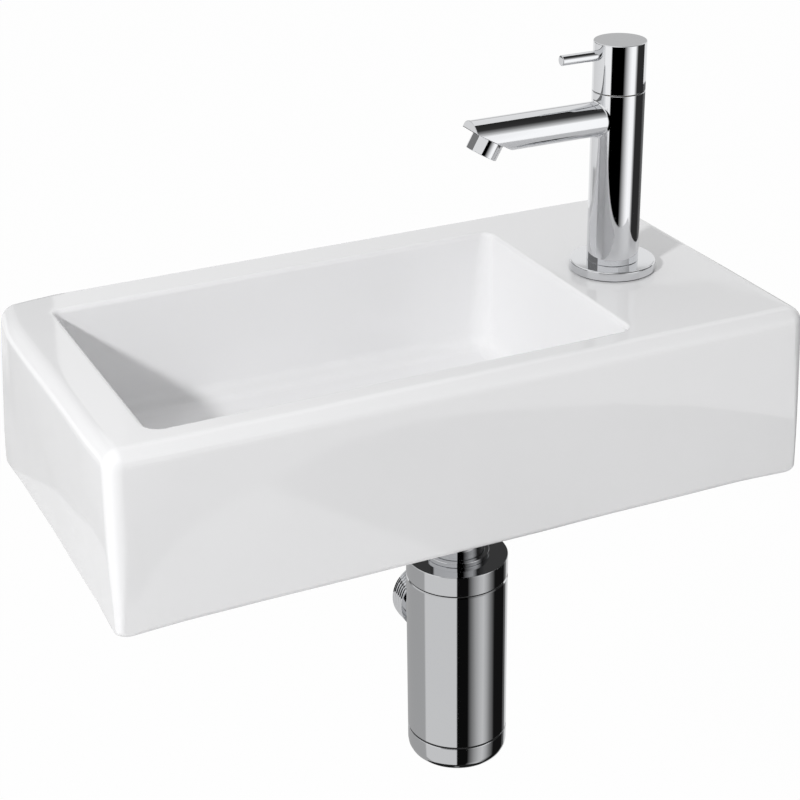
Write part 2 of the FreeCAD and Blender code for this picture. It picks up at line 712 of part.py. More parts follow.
def make_tap_base(s, at):
    ring("tap_base_gasket", (*at.tap, at.deck), at.shank_clear, s.base_radius - s.seal_margin,
         s.base_gasket)
    turned("tap_base_flange", (*at.tap, at.base), [
        (at.shank_clear, 0),
        (s.base_radius, 0),
        (s.base_radius, s.base_thickness - s.base_chamfer),
        (s.base_radius - s.base_chamfer, s.base_thickness),
        (at.shank_clear, s.base_thickness)])
    shank_foot = at.deck - s.shank_drop
    shank_length = at.base_top - shank_foot + s.shank_grip
    shank = turned("tap_shank", (*at.tap, shank_foot), [
        (s.shank_bore, 0),
        (s.shank_radius - s.shank_thread, 0),
        (s.shank_radius, s.shank_thread),
        (s.shank_radius, shank_length),
        (s.shank_bore, shank_length)])
    cut_thread(shank, s.shank_radius, s.shank_thread, s.shank_pitch, s.shank_thread,
               s.shank_drop - s.deck_thickness)
    rubber = at.deck_under - s.rubber_washer
    steel = rubber - s.steel_washer
    ring("tap_rubber_washer", (*at.tap, rubber), at.shank_clear, s.washer_radius, s.rubber_washer)
    ring("tap_steel_washer", (*at.tap, steel), at.shank_clear, s.washer_radius, s.steel_washer)
    nut("tap_backnut", (*at.tap, steel - s.backnut_height), at.backnut_flats, s.backnut_height,
        at.shank_clear)


def nut(label, where, across_flats, height, bore):
    """Make a hexagon nut with a plain bore."""
    body = new_body(label, where)
    sketch = sketch_on(body, "XY_Plane")
    polygon(sketch, HEXAGON_SIDES, across_flats)
    circle(sketch, bore)
    pad(body, sketch, height)
    return body


def make_tap_column(s, at):
    thread_foot = at.column_height - s.cartridge_grip
    body = turned("tap_body", (*at.tap, at.base_top), [
        (at.shank_clear, 0),
        (s.column_radius - s.seam_chamfer, 0),
        (s.column_radius, s.seam_chamfer),
        (s.column_radius, at.column_height - s.seam_chamfer),
        (s.column_radius - s.seam_chamfer, at.column_height),
        (at.shank_clear, at.column_height),
        (at.shank_clear, thread_foot),
        (at.chamber_radius, thread_foot),
        (at.chamber_radius, at.seat_height),
        (s.shank_bore, at.seat_height),
        (s.shank_bore, s.shank_grip + s.fit),
        (at.shank_clear, s.shank_grip + s.fit)])
    port = sketch_on(body, "YZ_Plane")
    circle(port, s.spout_bore, 0, at.port - at.base_top)
    pocket(body, port, s.column_radius + s.overrun)


def make_spout(s, at):
    """Make the spout: a flat nose, and under it a slanted mouth that is bored for the aerator."""
    body = new_body("tap_spout", (*at.tap, at.spout))
    tube = sketch_on(body, "YZ_Plane")
    circle(tube, s.spout_radius)
    pad(body, tube, s.spout_nose, down=True)

    # The root is hollowed to sit on the round column.
    root = sketch_on(body, "XY_Plane")
    circle(root, s.column_radius + s.fit)
    pocket(body, root, s.spout_radius * 4, both=True)

    # The slice runs from the nose down to the lower tip and takes what lies outside.
    slant = sketch_on(body, "XZ_Plane")
    past = s.spout_radius / tangent(s.spout_slant_angle) + s.spout_radius
    drop = past * tangent(s.spout_slant_angle)
    outline(slant, [(-s.spout_reach - past, drop), (-s.spout_reach - past, -drop),
                    (past - s.spout_reach, -drop)])
    pocket(body, slant, s.spout_radius * 4, both=True)

    bore = sketch_on(body, "YZ_Plane")
    circle(bore, s.spout_bore, 0, s.spout_bore_rise)
    pocket(body, bore, s.spout_reach - s.spout_bore_stop)

    socket = sketch_on(body, "XY_Plane", at.aerator - at.spout)
    tilt = Size(HALF_TURN, str(HALF_TURN)) - s.spout_slant_angle
    turn = FreeCAD.Rotation(FreeCAD.Vector(0, -1, 0), tilt.value)
    socket.AttachmentOffset = FreeCAD.Placement(FreeCAD.Vector(), turn)
    socket.setExpression("AttachmentOffset.Rotation.Angle", tilt.formula)
    socket.setExpression("AttachmentOffset.Base.x", (-at.aerator_reach).formula)
    circle(socket, s.aerator_thread + s.fit)
    pocket(body, socket, s.aerator_grip + s.aerator_gasket + s.fit)


def make_aerator(s, at):
    """Make the aerator, square to the spout's slanted mouth; its axis points out of the spout."""
    x, y = at.tap
    tilt = {"axis": (0, -1, 0), "angle": Size(HALF_TURN, str(HALF_TURN)) - s.spout_slant_angle}
    where = (x - at.aerator_reach, y, at.aerator)
    housing = new_body("aerator_housing", where, **tilt)
    barrel = sketch_on(housing, "XY_Plane")
    circle(barrel, s.aerator_radius)
    pad(housing, barrel, s.aerator_drop)
    # A spanner grips four flats, which face between the slant and the sides.
    flats = sketch_on(housing, "XY_Plane")
    circle(flats, s.aerator_radius + s.overrun * 2)
    corner_share = math.sqrt(2) / 2
    corner = s.aerator_flats * corner_share
    outline(flats, [(corner, 0), (0, corner), (-corner, 0), (0, -corner)])
    pocket(housing, flats, s.aerator_drop, forward=True)
    thread = sketch_on(housing, "XY_Plane")
    circle(thread, s.aerator_thread)
    pad(housing, thread, s.aerator_grip, down=True)
    bore = sketch_on(housing, "XY_Plane", -s.aerator_grip)
    circle(bore, at.aerator_bore)
    inside = s.aerator_grip + s.aerator_drop - s.aerator_lip_height
    pocket(housing, bore, inside, forward=True)
    mouth = sketch_on(housing, "XY_Plane", s.aerator_drop)
    circle(mouth, at.aerator_bore - s.aerator_lip)
    pocket(housing, mouth, s.aerator_drop)

    insert = new_body("aerator_insert", where, **tilt)
    plug = sketch_on(insert, "XY_Plane", -s.aerator_grip)
    circle(plug, at.aerator_bore - s.fit)
    pad(insert, plug, inside)
    jets = sketch_on(insert, "XY_Plane", -s.aerator_grip)
    circle(jets, s.aerator_jet)
    for step in range(1, JET_RINGS + 1):
        for index in range(JETS_PER_RING * step):
            angle = 2 * math.pi * index / (JETS_PER_RING * step)
            circle(jets, s.aerator_jet, at.aerator_jet_ring * (step * math.cos(angle)),
                   at.aerator_jet_ring * (step * math.sin(angle)))
    pocket(insert, jets, inside, forward=True)

    gasket = new_body("aerator_gasket", where, **tilt)
    seal = sketch_on(gasket, "XY_Plane", -s.aerator_grip)
    circle(seal, s.aerator_thread)
    circle(seal, at.aerator_bore - s.aerator_lip)
    pad(gasket, seal, s.aerator_gasket, down=True)


def make_cartridge(s, at):
    """Make the ceramic-disc cartridge: shut at rest, open after a quarter turn."""
    ring("cartridge_seal", (*at.tap, at.seat), s.shank_bore, at.cartridge_radius, s.cartridge_seal)
    thread_foot = s.cartridge_length - s.cartridge_grip + s.fit
    spindle_bore = s.spindle_radius + s.running_gap
    disc_room = s.disc_radius + s.face_gap
    top = s.cartridge_length + s.cartridge_flange_height
    body = turned("cartridge_body", (*at.tap, at.cartridge), [
        (disc_room, 0),
        (at.cartridge_radius, 0),
        (at.cartridge_radius, thread_foot),
        (s.shank_radius, thread_foot),
        (s.shank_radius, s.cartridge_length),
        (at.cartridge_flange, s.cartridge_length),
        (at.cartridge_flange, top),
        (spindle_bore, top),
        (spindle_bore, s.disc_chamber),
        (disc_room, s.disc_chamber)])
    windows = sketch_on(body, "YZ_Plane")
    rectangle(windows, -s.window_width / 2, s.window_width / 2, s.window_base,
              s.window_base + s.window_height)
    pocket(body, windows, at.cartridge_radius * 4, both=True)

    fixed = new_body("cartridge_fixed_disc", (*at.tap, at.cartridge))
    ported_disc(s, fixed, s.fixed_disc, along_x=True)
    turning = new_body("cartridge_turning_disc", (*at.tap, at.turning_disc))
    ported_disc(s, turning, s.turning_disc, along_x=False)
    slot = sketch_on(turning, "XY_Plane", s.turning_disc)
    half_slot = s.tongue_width / 2 + s.fit
    rectangle(slot, -s.disc_radius, s.disc_radius, -half_slot, half_slot)
    pocket(turning, slot, s.tongue_depth + s.fit)


def ported_disc(s, body, thickness, along_x):
    """Make a disc with two ports across its middle."""
    sketch = sketch_on(body, "XY_Plane")
    circle(sketch, s.disc_radius)
    for side in (-1, 1):
        place = s.port_offset * side
        where = (place, 0) if along_x else (0, place)
        circle(sketch, s.disc_port, *where)
    pad(body, sketch, thickness)


def make_spindle(s, at):
    """Make the spindle, its driver bar and tongue, its O-ring and its spring clip."""
    body = new_body("cartridge_spindle", (*at.tap, at.driver))
    groove_base = at.cartridge + s.disc_chamber + s.ring_groove_base - at.driver
    groove_radius = s.spindle_radius - s.ring_groove
    ring_section = (s.spindle_radius + s.running_gap / 2 - groove_radius) / 2
    groove_top = groove_base + ring_section * 2 + s.fit
    clip_base = at.clip - at.driver - s.fit
    clip_top = at.clip + s.clip_thickness - at.driver + s.fit
    clip_radius = s.spindle_radius - s.clip_groove
    length = at.cap + s.cap_socket - at.driver - s.fit
    stem = sketch_on(body, "XZ_Plane")
    outline(stem, [
        (0, 0),
        (s.spindle_radius, 0),
        (s.spindle_radius, groove_base - s.fit),
        (groove_radius - s.fit, groove_base - s.fit),
        (groove_radius - s.fit, groove_top),
        (s.spindle_radius, groove_top),
        (s.spindle_radius, clip_base),
        (clip_radius, clip_base),
        (clip_radius, clip_top),
        (s.spindle_radius, clip_top),
        (s.spindle_radius, length),
        (0, length)])
    feature = add_feature(body, "Revolution", stem)
    feature.ReferenceAxis = (stem, ["V_Axis"])
    feature.Angle = FULL_TURN
    doc.recompute()
    bar = sketch_on(body, "XY_Plane")
    rectangle(bar, -at.driver_length / 2, at.driver_length / 2, -s.driver_width / 2, s.driver_width / 2)
    pad(body, bar, s.driver_height)
    tongue = sketch_on(body, "XY_Plane")
    rectangle(tongue, -at.driver_length / 2, at.driver_length / 2,
              -s.tongue_width / 2, s.tongue_width / 2)
    pad(body, tongue, s.tongue_depth, down=True)

    o_ring = doc.addObject("Part::Torus", "spindle_o_ring")
    o_ring.Label = "spindle_o_ring"
    o_ring.setExpression("Radius1", (groove_radius + ring_section).formula)
    o_ring.setExpression("Radius2", ring_section.formula)
    o_ring_place = (*at.tap, at.driver + groove_base + ring_section)
    for letter, place in zip("xyz", o_ring_place):
        o_ring.setExpression("Placement.Base." + letter, place.formula)
    pieces.append(o_ring)

    clip = ring("spindle_clip", (*at.tap, at.clip), clip_radius + s.fit, s.clip_radius,
                s.clip_thickness)
    mouth = sketch_on(clip, "XY_Plane")
    rectangle(mouth, 0, s.clip_radius + s.overrun, -s.clip_mouth / 2, s.clip_mouth / 2)
    pocket(clip, mouth, s.clip_thickness, forward=True)


def make_handle(s, at):
    """Make the cap, its lever towards the bowl, and the grub screw opposite the lever."""
    socket = s.spindle_radius + s.fit
    cap = turned("handle_cap", (*at.tap, at.cap), [
        (at.cap_cavity, 0),
        (s.column_radius - s.seam_chamfer, 0),
        (s.column_radius, s.seam_chamfer),
        (s.column_radius, s.cap_height - s.cap_edge),
        (s.column_radius - s.cap_edge, s.cap_height),
        (0, s.cap_height),
        (0, s.cap_socket),
        (socket, s.cap_socket),
        (socket, s.cap_cavity_height),
        (at.cap_cavity, s.cap_cavity_height)])
    lever_hole = sketch_on(cap, "YZ_Plane", -at.lever_root)
    circle(lever_hole, s.lever_radius + s.fit, 0, at.lever_height)
    pocket(cap, lever_hole, s.column_radius)
    grub_hole = sketch_on(cap, "YZ_Plane")
    circle(grub_hole, s.grub_radius + s.fit, 0, s.grub_height)
    pocket(cap, grub_hole, s.column_radius + s.overrun, forward=True)

    x, y = at.tap
    lever_start = at.lever_root + s.fit
    lever_length = s.lever_reach - lever_start
    turned("handle_lever", (x - lever_start, y, at.cap + at.lever_height), [
        (0, 0),
        (s.lever_radius, 0),
        (s.lever_radius, lever_length - s.lever_edge),
        (s.lever_radius - s.lever_edge, lever_length),
        (0, lever_length)], axis=(0, -1, 0), angle=RIGHT_ANGLE)
    grub = turned("handle_grub_screw", (x + at.grub_start, y, at.cap + s.grub_height), [
        (0, 0),
        (s.grub_radius, 0),
        (s.grub_radius, at.grub_length),
        (0, at.grub_length)], axis=(0, 1, 0), angle=RIGHT_ANGLE)
    socket_sketch = sketch_on(grub, "XY_Plane", at.grub_length)
    polygon(socket_sketch, HEXAGON_SIDES, s.grub_socket)
    pocket(grub, socket_sketch, s.grub_socket_depth)


# Waste


def make_waste(s, at):
    """Make the waste: its flange lies flush in the floor, and its tail passes the drain hole."""
    flange_foot = at.waste_length - s.waste_flange_height
    grid_foot = at.waste_length - s.grid_thickness
    grid_room = s.grid_radius + s.fit
    body = turned("waste_body", (*at.drain, at.waste_end), [
        (at.waste_bore, 0),
        (s.waste_thread - s.waste_thread_depth, 0),
        (s.waste_thread, s.waste_thread_depth),
        (s.waste_thread, flange_foot),
        (s.waste_flange, flange_foot),
        (s.waste_flange, at.waste_length - s.waste_edge),
        (s.waste_flange - s.waste_edge, at.waste_length),
        (grid_room, at.waste_length),
        (grid_room, grid_foot),
        (at.waste_bore, grid_foot)])
    bridge_top = grid_foot - s.bridge_drop
    bridge = sketch_on(body, "XY_Plane", bridge_top)
    reach = at.waste_bore + s.fit
    rectangle(bridge, -reach, reach, -s.bridge_width / 2, s.bridge_width / 2)
    pad(body, bridge, s.bridge_height, down=True)
    boss = sketch_on(body, "XY_Plane", bridge_top)
    circle(boss, s.bridge_boss)
    pad(body, boss, s.bridge_height, down=True)
    screw_hole = sketch_on(body, "XY_Plane", bridge_top)
    circle(screw_hole, s.screw_radius + s.fit)
    pocket(body, screw_hole, s.bridge_height)
    cut_thread(body, s.waste_thread, s.waste_thread_depth, s.waste_pitch, s.waste_thread_depth,
               flange_foot - s.drain_pad - s.thread_runout)

    ring("waste_upper_seal", (*at.drain, at.floor - at.recess), at.waste_clear,
         s.waste_flange - s.seal_margin, s.upper_seal)
    ring("waste_lower_washer", (*at.drain, at.washer_foot), at.waste_clear, s.lower_washer_radius,
         s.lower_washer)
    nut("waste_backnut", (*at.drain, at.waste_nut_foot), at.waste_nut_flats, s.waste_nut_height,
        at.waste_clear)


def make_grid(s, at):
    """Make the grid and the screw that holds it to the bridge."""
    grid = new_body("waste_grid", (*at.drain, at.floor - s.grid_thickness))
    plate = sketch_on(grid, "XY_Plane")
    circle(plate, s.grid_radius)
    circle(plate, s.screw_radius + s.fit)
    pad(grid, plate, s.grid_thickness)
    hole = sketch_on(grid, "XY_Plane")
    circle(hole, s.grid_hole, s.grid_hole_ring, 0)
    polar(grid, pocket(grid, hole, s.grid_thickness, forward=True), hole, GRID_HOLES)

    length = s.grid_thickness + s.bridge_drop + s.bridge_height
    screw = turned("waste_screw", (*at.drain, at.floor - length), [
        (0, 0),
        (s.screw_radius, 0),
        (s.screw_radius, length),
        (s.screw_head, length),
        (s.screw_head - s.screw_head_height / 2, length + s.screw_head_height),
        (0, length + s.screw_head_height)])
    slot = sketch_on(screw, "XY_Plane", length + s.screw_head_height)
    rectangle(slot, -s.screw_head, s.screw_head, -s.screw_slot / 2, s.screw_slot / 2)
    pocket(screw, slot, s.screw_head_height / 2)


# Trap


def make_inlet(s, at):
    """Make the pipe that hangs from the waste, with its gasket and union nut."""
    ring("trap_inlet_gasket", (*at.drain, at.pipe_top), s.pipe_radius, at.pipe_flange, s.inlet_gasket)
    length = at.pipe_top - at.pipe_end
    turned("trap_inlet_pipe", (*at.drain, at.pipe_end), [
        (s.pipe_radius - s.pipe_wall, 0),
        (s.pipe_radius, 0),
        (s.pipe_radius, length - s.pipe_flange_height),
        (at.pipe_flange, length - s.pipe_flange_height),
        (at.pipe_flange, length),
        (s.pipe_radius - s.pipe_wall, length)])
    nut_foot = at.pipe_top - s.pipe_flange_height - s.inlet_nut_lip
    height = at.waste_end + s.inlet_nut_grip - nut_foot
    union = nut("trap_inlet_nut", (*at.drain, nut_foot), at.inlet_nut_flats, height,
                s.pipe_radius + s.slip)
    inside = sketch_on(union, "XY_Plane", height)
    circle(inside, at.waste_clear)
    pocket(union, inside, height - s.inlet_nut_lip)


def make_trap_head(s, at):
    """Make the head, and the collar nut that squeezes the seal onto the pipe."""
    seal_foot = at.trap_top - s.collar_grip - s.pipe_seal
    ring("trap_pipe_seal", (*at.drain, seal_foot), s.pipe_radius + s.running_gap, at.collar_thread,
         s.pipe_seal)
    turned("trap_collar_nut", (*at.drain, at.trap_top - s.collar_grip), [
        (s.pipe_radius + s.slip, 0),
        (at.collar_thread, 0),
        (at.collar_thread, s.collar_grip + s.face_gap),
        (at.collar_radius, s.collar_grip + s.face_gap),
        (at.collar_radius, s.collar_grip + s.collar_height - s.head_edge),
        (at.collar_radius - s.head_edge, s.collar_grip + s.collar_height),
        (s.pipe_radius + s.slip, s.collar_grip + s.collar_height)])

    # Heights above the foot of the skirt
    shoulder = s.head_skirt
    top = shoulder + s.head_height
    ledge = top - s.collar_grip - s.pipe_seal - s.face_gap
    turned("trap_head", (*at.drain, at.head_foot - s.head_skirt), [
        (s.pipe_radius + s.slip, ledge - s.head_ledge),
        (at.socket_outside, ledge - s.head_ledge),
        (at.socket_outside, top - s.head_plate),
        (at.skirt - s.skirt_wall, top - s.head_plate),
        (at.skirt - s.skirt_wall, 0),
        (at.skirt, 0),
        (at.skirt, shoulder),
        (at.trap_radius - s.head_edge, shoulder),
        (at.trap_radius, shoulder + s.head_edge),
        (at.trap_radius, top - s.head_edge),
        (at.trap_radius - s.head_edge, top),
        (at.socket, top),
        (at.socket, ledge),
        (s.pipe_radius + s.slip, ledge)])
    ring("trap_head_seal", (*at.drain, at.body_top), at.trap_inside, at.trap_radius - s.head_edge,
         s.head_seal)


def make_trap_body(s, at):
    """Make the body, and the threaded outlet that sits on its side towards the wall."""
    length = at.body_top - at.body_foot
    body = turned("trap_body", (*at.drain, at.body_foot), [
        (at.trap_inside, 0),
        (at.trap_radius - s.head_edge, 0),
        (at.trap_radius, s.head_edge),
        (at.trap_radius, length - s.head_edge),
        (at.trap_radius - s.head_edge, length),
        (at.trap_inside, length)])
    opening = sketch_on(body, "XZ_Plane")
    circle(opening, at.outlet_bore, 0, at.outlet - at.body_foot)
    pocket(body, opening, at.trap_radius + s.overrun)

    neck = s.waste_thread - s.waste_thread_depth
    thread_start = at.outlet_reach - s.outlet_thread_length
    stub = turned("trap_outlet_stub", (*at.drain, at.outlet), [
        (at.outlet_bore, 0),
        (neck, 0),
        (neck, thread_start),
        (s.waste_thread, thread_start),
        (s.waste_thread, at.outlet_reach - s.waste_thread_depth),
        (neck, at.outlet_reach),
        (at.outlet_bore, at.outlet_reach)], axis=(-1, 0, 0), angle=RIGHT_ANGLE)
    saddle = sketch_on(stub, "XZ_Plane")
    circle(saddle, at.trap_radius + s.fit)
    pocket(stub, saddle, at.trap_radius * 4, both=True)
    crest = s.waste_pitch * CREST_SHARE
    cut_thread(stub, s.waste_thread, s.waste_thread_depth, s.waste_pitch, thread_start + crest,
               s.outlet_thread_length - s.waste_thread_depth - crest)


def make_trap_cup(s, at):
    """Make the cup that unscrews from the body's foot, and its seal."""
    shoulder = s.cup_height - s.cup_seal
    spigot = at.trap_inside - s.slip
    inside = spigot - s.skirt_wall
    top = s.cup_height + s.cup_spigot
    cup = turned("trap_cup", (*at.drain, at.trap_foot), [
        (0, 0),
        (at.trap_radius, 0),
        (at.trap_radius, shoulder - s.head_edge),
        (at.trap_radius - s.head_edge, shoulder),
        (spigot, shoulder),
        (spigot, top),
        (inside, top),
        (inside, s.cup_fillet),
        (at.trap_radius - s.cup_fillet, s.cup_floor),
        (0, s.cup_floor)])
    near_foot = s.overrun.value
    round_edges(cup, s.cup_fillet, lambda edge: edge.BoundBox.ZMax < near_foot
                and edge.BoundBox.XMax > at.trap_radius.value - near_foot
                and edge.BoundBox.XMin < 0)
    ring("trap_cup_seal", (*at.drain, at.trap_foot + shoulder), spigot + s.fit,
         at.trap_radius - s.head_edge, s.cup_seal)


def check_document():
    """Stop if anything in the document failed, or a piece isn't one valid solid."""
    for item in doc.Objects:
        if "Invalid" in item.State or "Error" in item.State:
            raise RuntimeError("%s is %s" % (item.Label, item.State))
    for piece in pieces:
        shape = piece.Shape
        if shape.isNull() or not shape.isValid() or len(shape.Solids) != 1:
            raise RuntimeError("%s isn't one valid solid" % piece.Label)


def write_pieces():
    os.makedirs("parts", exist_ok=True)
    for piece in pieces:
        piece.Shape.exportStep(os.path.join("parts", piece.Label + ".step"))


def main():
    sizes = fill_sheet()
    places = work_out_places(sizes)
    for make in (make_basin, make_tap_base, make_tap_column, make_spout, make_aerator,
                 make_cartridge, make_spindle, make_handle, make_waste, make_grid, make_inlet,
                 make_trap_head, make_trap_body, make_trap_cup):
        make(sizes, places)
    doc.recompute()
    check_document()
    write_pieces()
    for piece in pieces:
        print("%-24s %10.1f mm3" % (piece.Label, piece.Shape.Volume))


main()
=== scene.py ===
"""Dresses a small wall-hung hand basin, with its lever tap and bottle trap, and sets it in a studio."""
import json
import math

import bmesh
import bpy
from bpy.props import FloatProperty, FloatVectorProperty, IntProperty, PointerProperty
from bpy.types import Operator, Panel, PropertyGroup
from mathutils import Matrix, Vector, noise


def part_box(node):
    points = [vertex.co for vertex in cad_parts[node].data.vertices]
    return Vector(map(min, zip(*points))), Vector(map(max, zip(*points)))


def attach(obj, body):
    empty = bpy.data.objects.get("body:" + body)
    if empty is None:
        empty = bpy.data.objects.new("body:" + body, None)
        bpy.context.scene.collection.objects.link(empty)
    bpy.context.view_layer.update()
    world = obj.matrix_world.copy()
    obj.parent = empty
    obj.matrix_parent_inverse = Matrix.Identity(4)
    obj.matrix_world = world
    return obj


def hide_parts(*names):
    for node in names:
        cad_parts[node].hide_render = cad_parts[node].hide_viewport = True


bl_info = {
    "name": "Hand Basin",
    "version": (1, 0, 0),
    "blender": (4, 5, 0),
    "location": "View3D > Sidebar > Hand Basin",
    "description": "Dresses a hand basin with its tap, waste and trap, and lights it",
    "category": "Object",
}

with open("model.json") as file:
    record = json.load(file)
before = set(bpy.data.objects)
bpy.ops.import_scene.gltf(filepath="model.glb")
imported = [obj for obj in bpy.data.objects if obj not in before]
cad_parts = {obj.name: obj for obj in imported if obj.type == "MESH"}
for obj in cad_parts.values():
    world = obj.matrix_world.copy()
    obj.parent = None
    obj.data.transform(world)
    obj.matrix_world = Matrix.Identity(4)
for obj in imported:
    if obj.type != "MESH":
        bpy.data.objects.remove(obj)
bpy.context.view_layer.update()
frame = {"nodes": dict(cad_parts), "record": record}

MM = 0.001
RIGHT_ANGLE = math.pi / 2
UP = Vector((0, 0, 1))
TO_BOWL = Vector((-1, 0, 0))
TO_WALL = Vector((0, 1, 0))
WHITE = (1.0, 1.0, 1.0, 1.0)
MERGE = 0.002 * MM
ROUNDING_STEPS = 5
CUT_ROUNDING_STEPS = 3
# Bend past which an edge is rounded, or stays crisp in the shading of a made piece or of a kept node
ROUNDED_BEND = math.radians(30)
MADE_BEND = math.radians(32)
KEPT_BEND = math.radians(28)


def foot_of(node):
    """The point on a round node's axis at the level of its foot."""
    low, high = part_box(node)
    return Vector(((low.x + high.x) / 2, (low.y + high.y) / 2, low.z))


def radius_of(node):
    low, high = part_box(node)
    return (high.x - low.x) / 2


def height_of(node):
    low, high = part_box(node)
    return high.z - low.z


def linear(code):
    """Turn an sRGB colour, written as a hash and six hex digits, into linear red, green and blue."""
    shares = [int(code[start:start + 2], 16) / 255 for start in (1, 3, 5)]
    return [share / 12.92 if share <= 0.04045 else ((share + 0.055) / 1.055) ** 2.4 for share in shares]


def length(name, description, default):
    """A length in metres, shown in the scene's units."""
    return FloatProperty(name=name, description=description, default=default, min=0.0, subtype="DISTANCE",
                         unit="LENGTH", precision=5)


def colour(name, description, code):
    return FloatVectorProperty(name=name, description=description, default=linear(code), size=3, min=0.0,
                               max=1.0, subtype="COLOR")


def angle(name, description, degrees):
    return FloatProperty(name=name, description=description, default=math.radians(degrees), subtype="ANGLE",
                         unit="ROTATION")


def power(name, description, watts):
    return FloatProperty(name=name, description=description, default=watts, min=0.0, unit="POWER")


class HandBasinSizes(PropertyGroup):
    """Small sizes of the pieces; their places and main sizes come from the frame."""

    turn_steps: IntProperty(name="Turn steps", description="Faces round a turned piece", default=128, min=24)
    warp: length("Warp", "How far firing draws the basin's walls in", 0.9 * MM)
    warp_wave: length("Warp wave", "Width of one swelling of the ceramic", 70 * MM)
    warp_step: length("Warp step", "Spacing of the ceramic's mesh lines", 12 * MM)
    flat_seat: length("Flat seat", "Ceramic kept true round the tap and the drain", 33 * MM)
    slump_back_left: length("Back left slump", "How far this corner slumps in at the deck", 6 * MM)
    slump_back_right: length("Back right slump", "How far this corner slumps in at the deck", 2 * MM)
    slump_front_left: length("Front left slump", "How far this corner slumps in at the deck", 2 * MM)
    slump_front_right: length("Front right slump", "How far this corner slumps in at the deck", 0)
    slump_reach: length("Slump reach", "How far a slump spreads from its corner", 42 * MM)
    foot_swell: length("Foot swell", "How far the corners swell out at the foot", 3 * MM)
    base_edge: length("Base edge", "Rounding of the tap's round base", 0.9 * MM)
    seam_edge: length("Seam edge", "Rounding at each seam of the tap", 0.35 * MM)
    cap_edge: length("Cap edge", "Rounding of the cap's upper edge", 0.5 * MM)
    cap_room: length("Cap room", "Room round the cartridge's flange", 0.4 * MM)
    cap_hollow: length("Cap hollow", "Hollow foot of the cap", 5 * MM)
    lever_edge: length("Lever edge", "Rounding of the lever's tip", 0.4 * MM)
    bead: length("Bead", "Hollow bead where a branch joins a round piece", 0.9 * MM)
    spout_edge: length("Spout edge", "Rounding of the spout's slanted end", 0.25 * MM)
    spout_slant: angle("Spout slant", "Slanted mouth of the spout, from level", 29.8)
    spout_mouth: length("Spout mouth", "Middle of the slanted mouth from the tap's axis", 84 * MM)
    aerator_shift: length("Aerator shift", "Aerator below the middle of the slanted mouth", 3.5 * MM)
    aerator_drop: length("Aerator drop", "Height of the aerator's housing", 9.1 * MM)
    aerator_flats: length("Aerator flats", "Aerator's housing across its four flats", 17.44 * MM)
    aerator_mouth: length("Aerator mouth", "Radius of the aerator's mouth", 5.2 * MM)
    aerator_edge: length("Aerator edge", "Rounding of the aerator's edges", 0.3 * MM)
    trap_edge: length("Trap edge", "Rounding at the trap's seams", 0.4 * MM)
    trap_wall: length("Trap wall", "Wall of the trap", 2 * MM)
    trap_room: length("Trap room", "Room round the cup's spigot", 0.3 * MM)
    skirt_wall: length("Skirt wall", "Wall of the head's skirt and the cup's spigot", 2.4 * MM)
    cup_foot: length("Cup foot", "Rounded foot of the cup", 8 * MM)
    cup_floor: length("Cup floor", "Floor of the cup", 3 * MM)
    cup_hollow: length("Cup hollow", "Rounding inside the cup", 5 * MM)
    collar_socket: length("Collar socket", "Radius of the head's socket for the collar", 18.7 * MM)
    collar_bore: length("Collar bore", "Radius of the hole through the collar", 16.3 * MM)
    collar_step: length("Collar step", "Step from the collar's thread to its outside", 0.9 * MM)
    collar_grip: length("Collar grip", "Collar screwed into the head", 8.1 * MM)
    thread_pitch: length("Thread pitch", "Pitch of the outlet's pipe thread", 2.309 * MM)
    thread_depth: length("Thread depth", "Depth of the outlet's pipe thread", 1.479 * MM)
    outlet_wall: length("Outlet wall", "Wall of the outlet under its thread", 3 * MM)
    outlet_neck: length("Outlet neck", "Plain neck between the trap and the thread", 4 * MM)


class HandBasinColours(PropertyGroup):
    """Colours of the finishes."""

    glaze: colour("Glaze", "White glaze of the basin", "#EFEFF0")
    bisque: colour("Bisque", "Bare fired clay under the foot", "#E4DFD6")
    chrome: colour("Chrome", "Chrome plate", "#D8D9DB")
    brass: colour("Brass", "Bare brass", "#C9A66B")
    rubber: colour("Rubber", "Black rubber", "#1C1C1D")
    steel: colour("Steel", "Stainless steel", "#B4B4B2")
    alumina: colour("Alumina", "Ceramic discs", "#EDEBE4")
    plastic: colour("Plastic", "White plastic", "#E3E3E0")
    floor: colour("Floor", "Pale studio floor", "#F2F2F2")


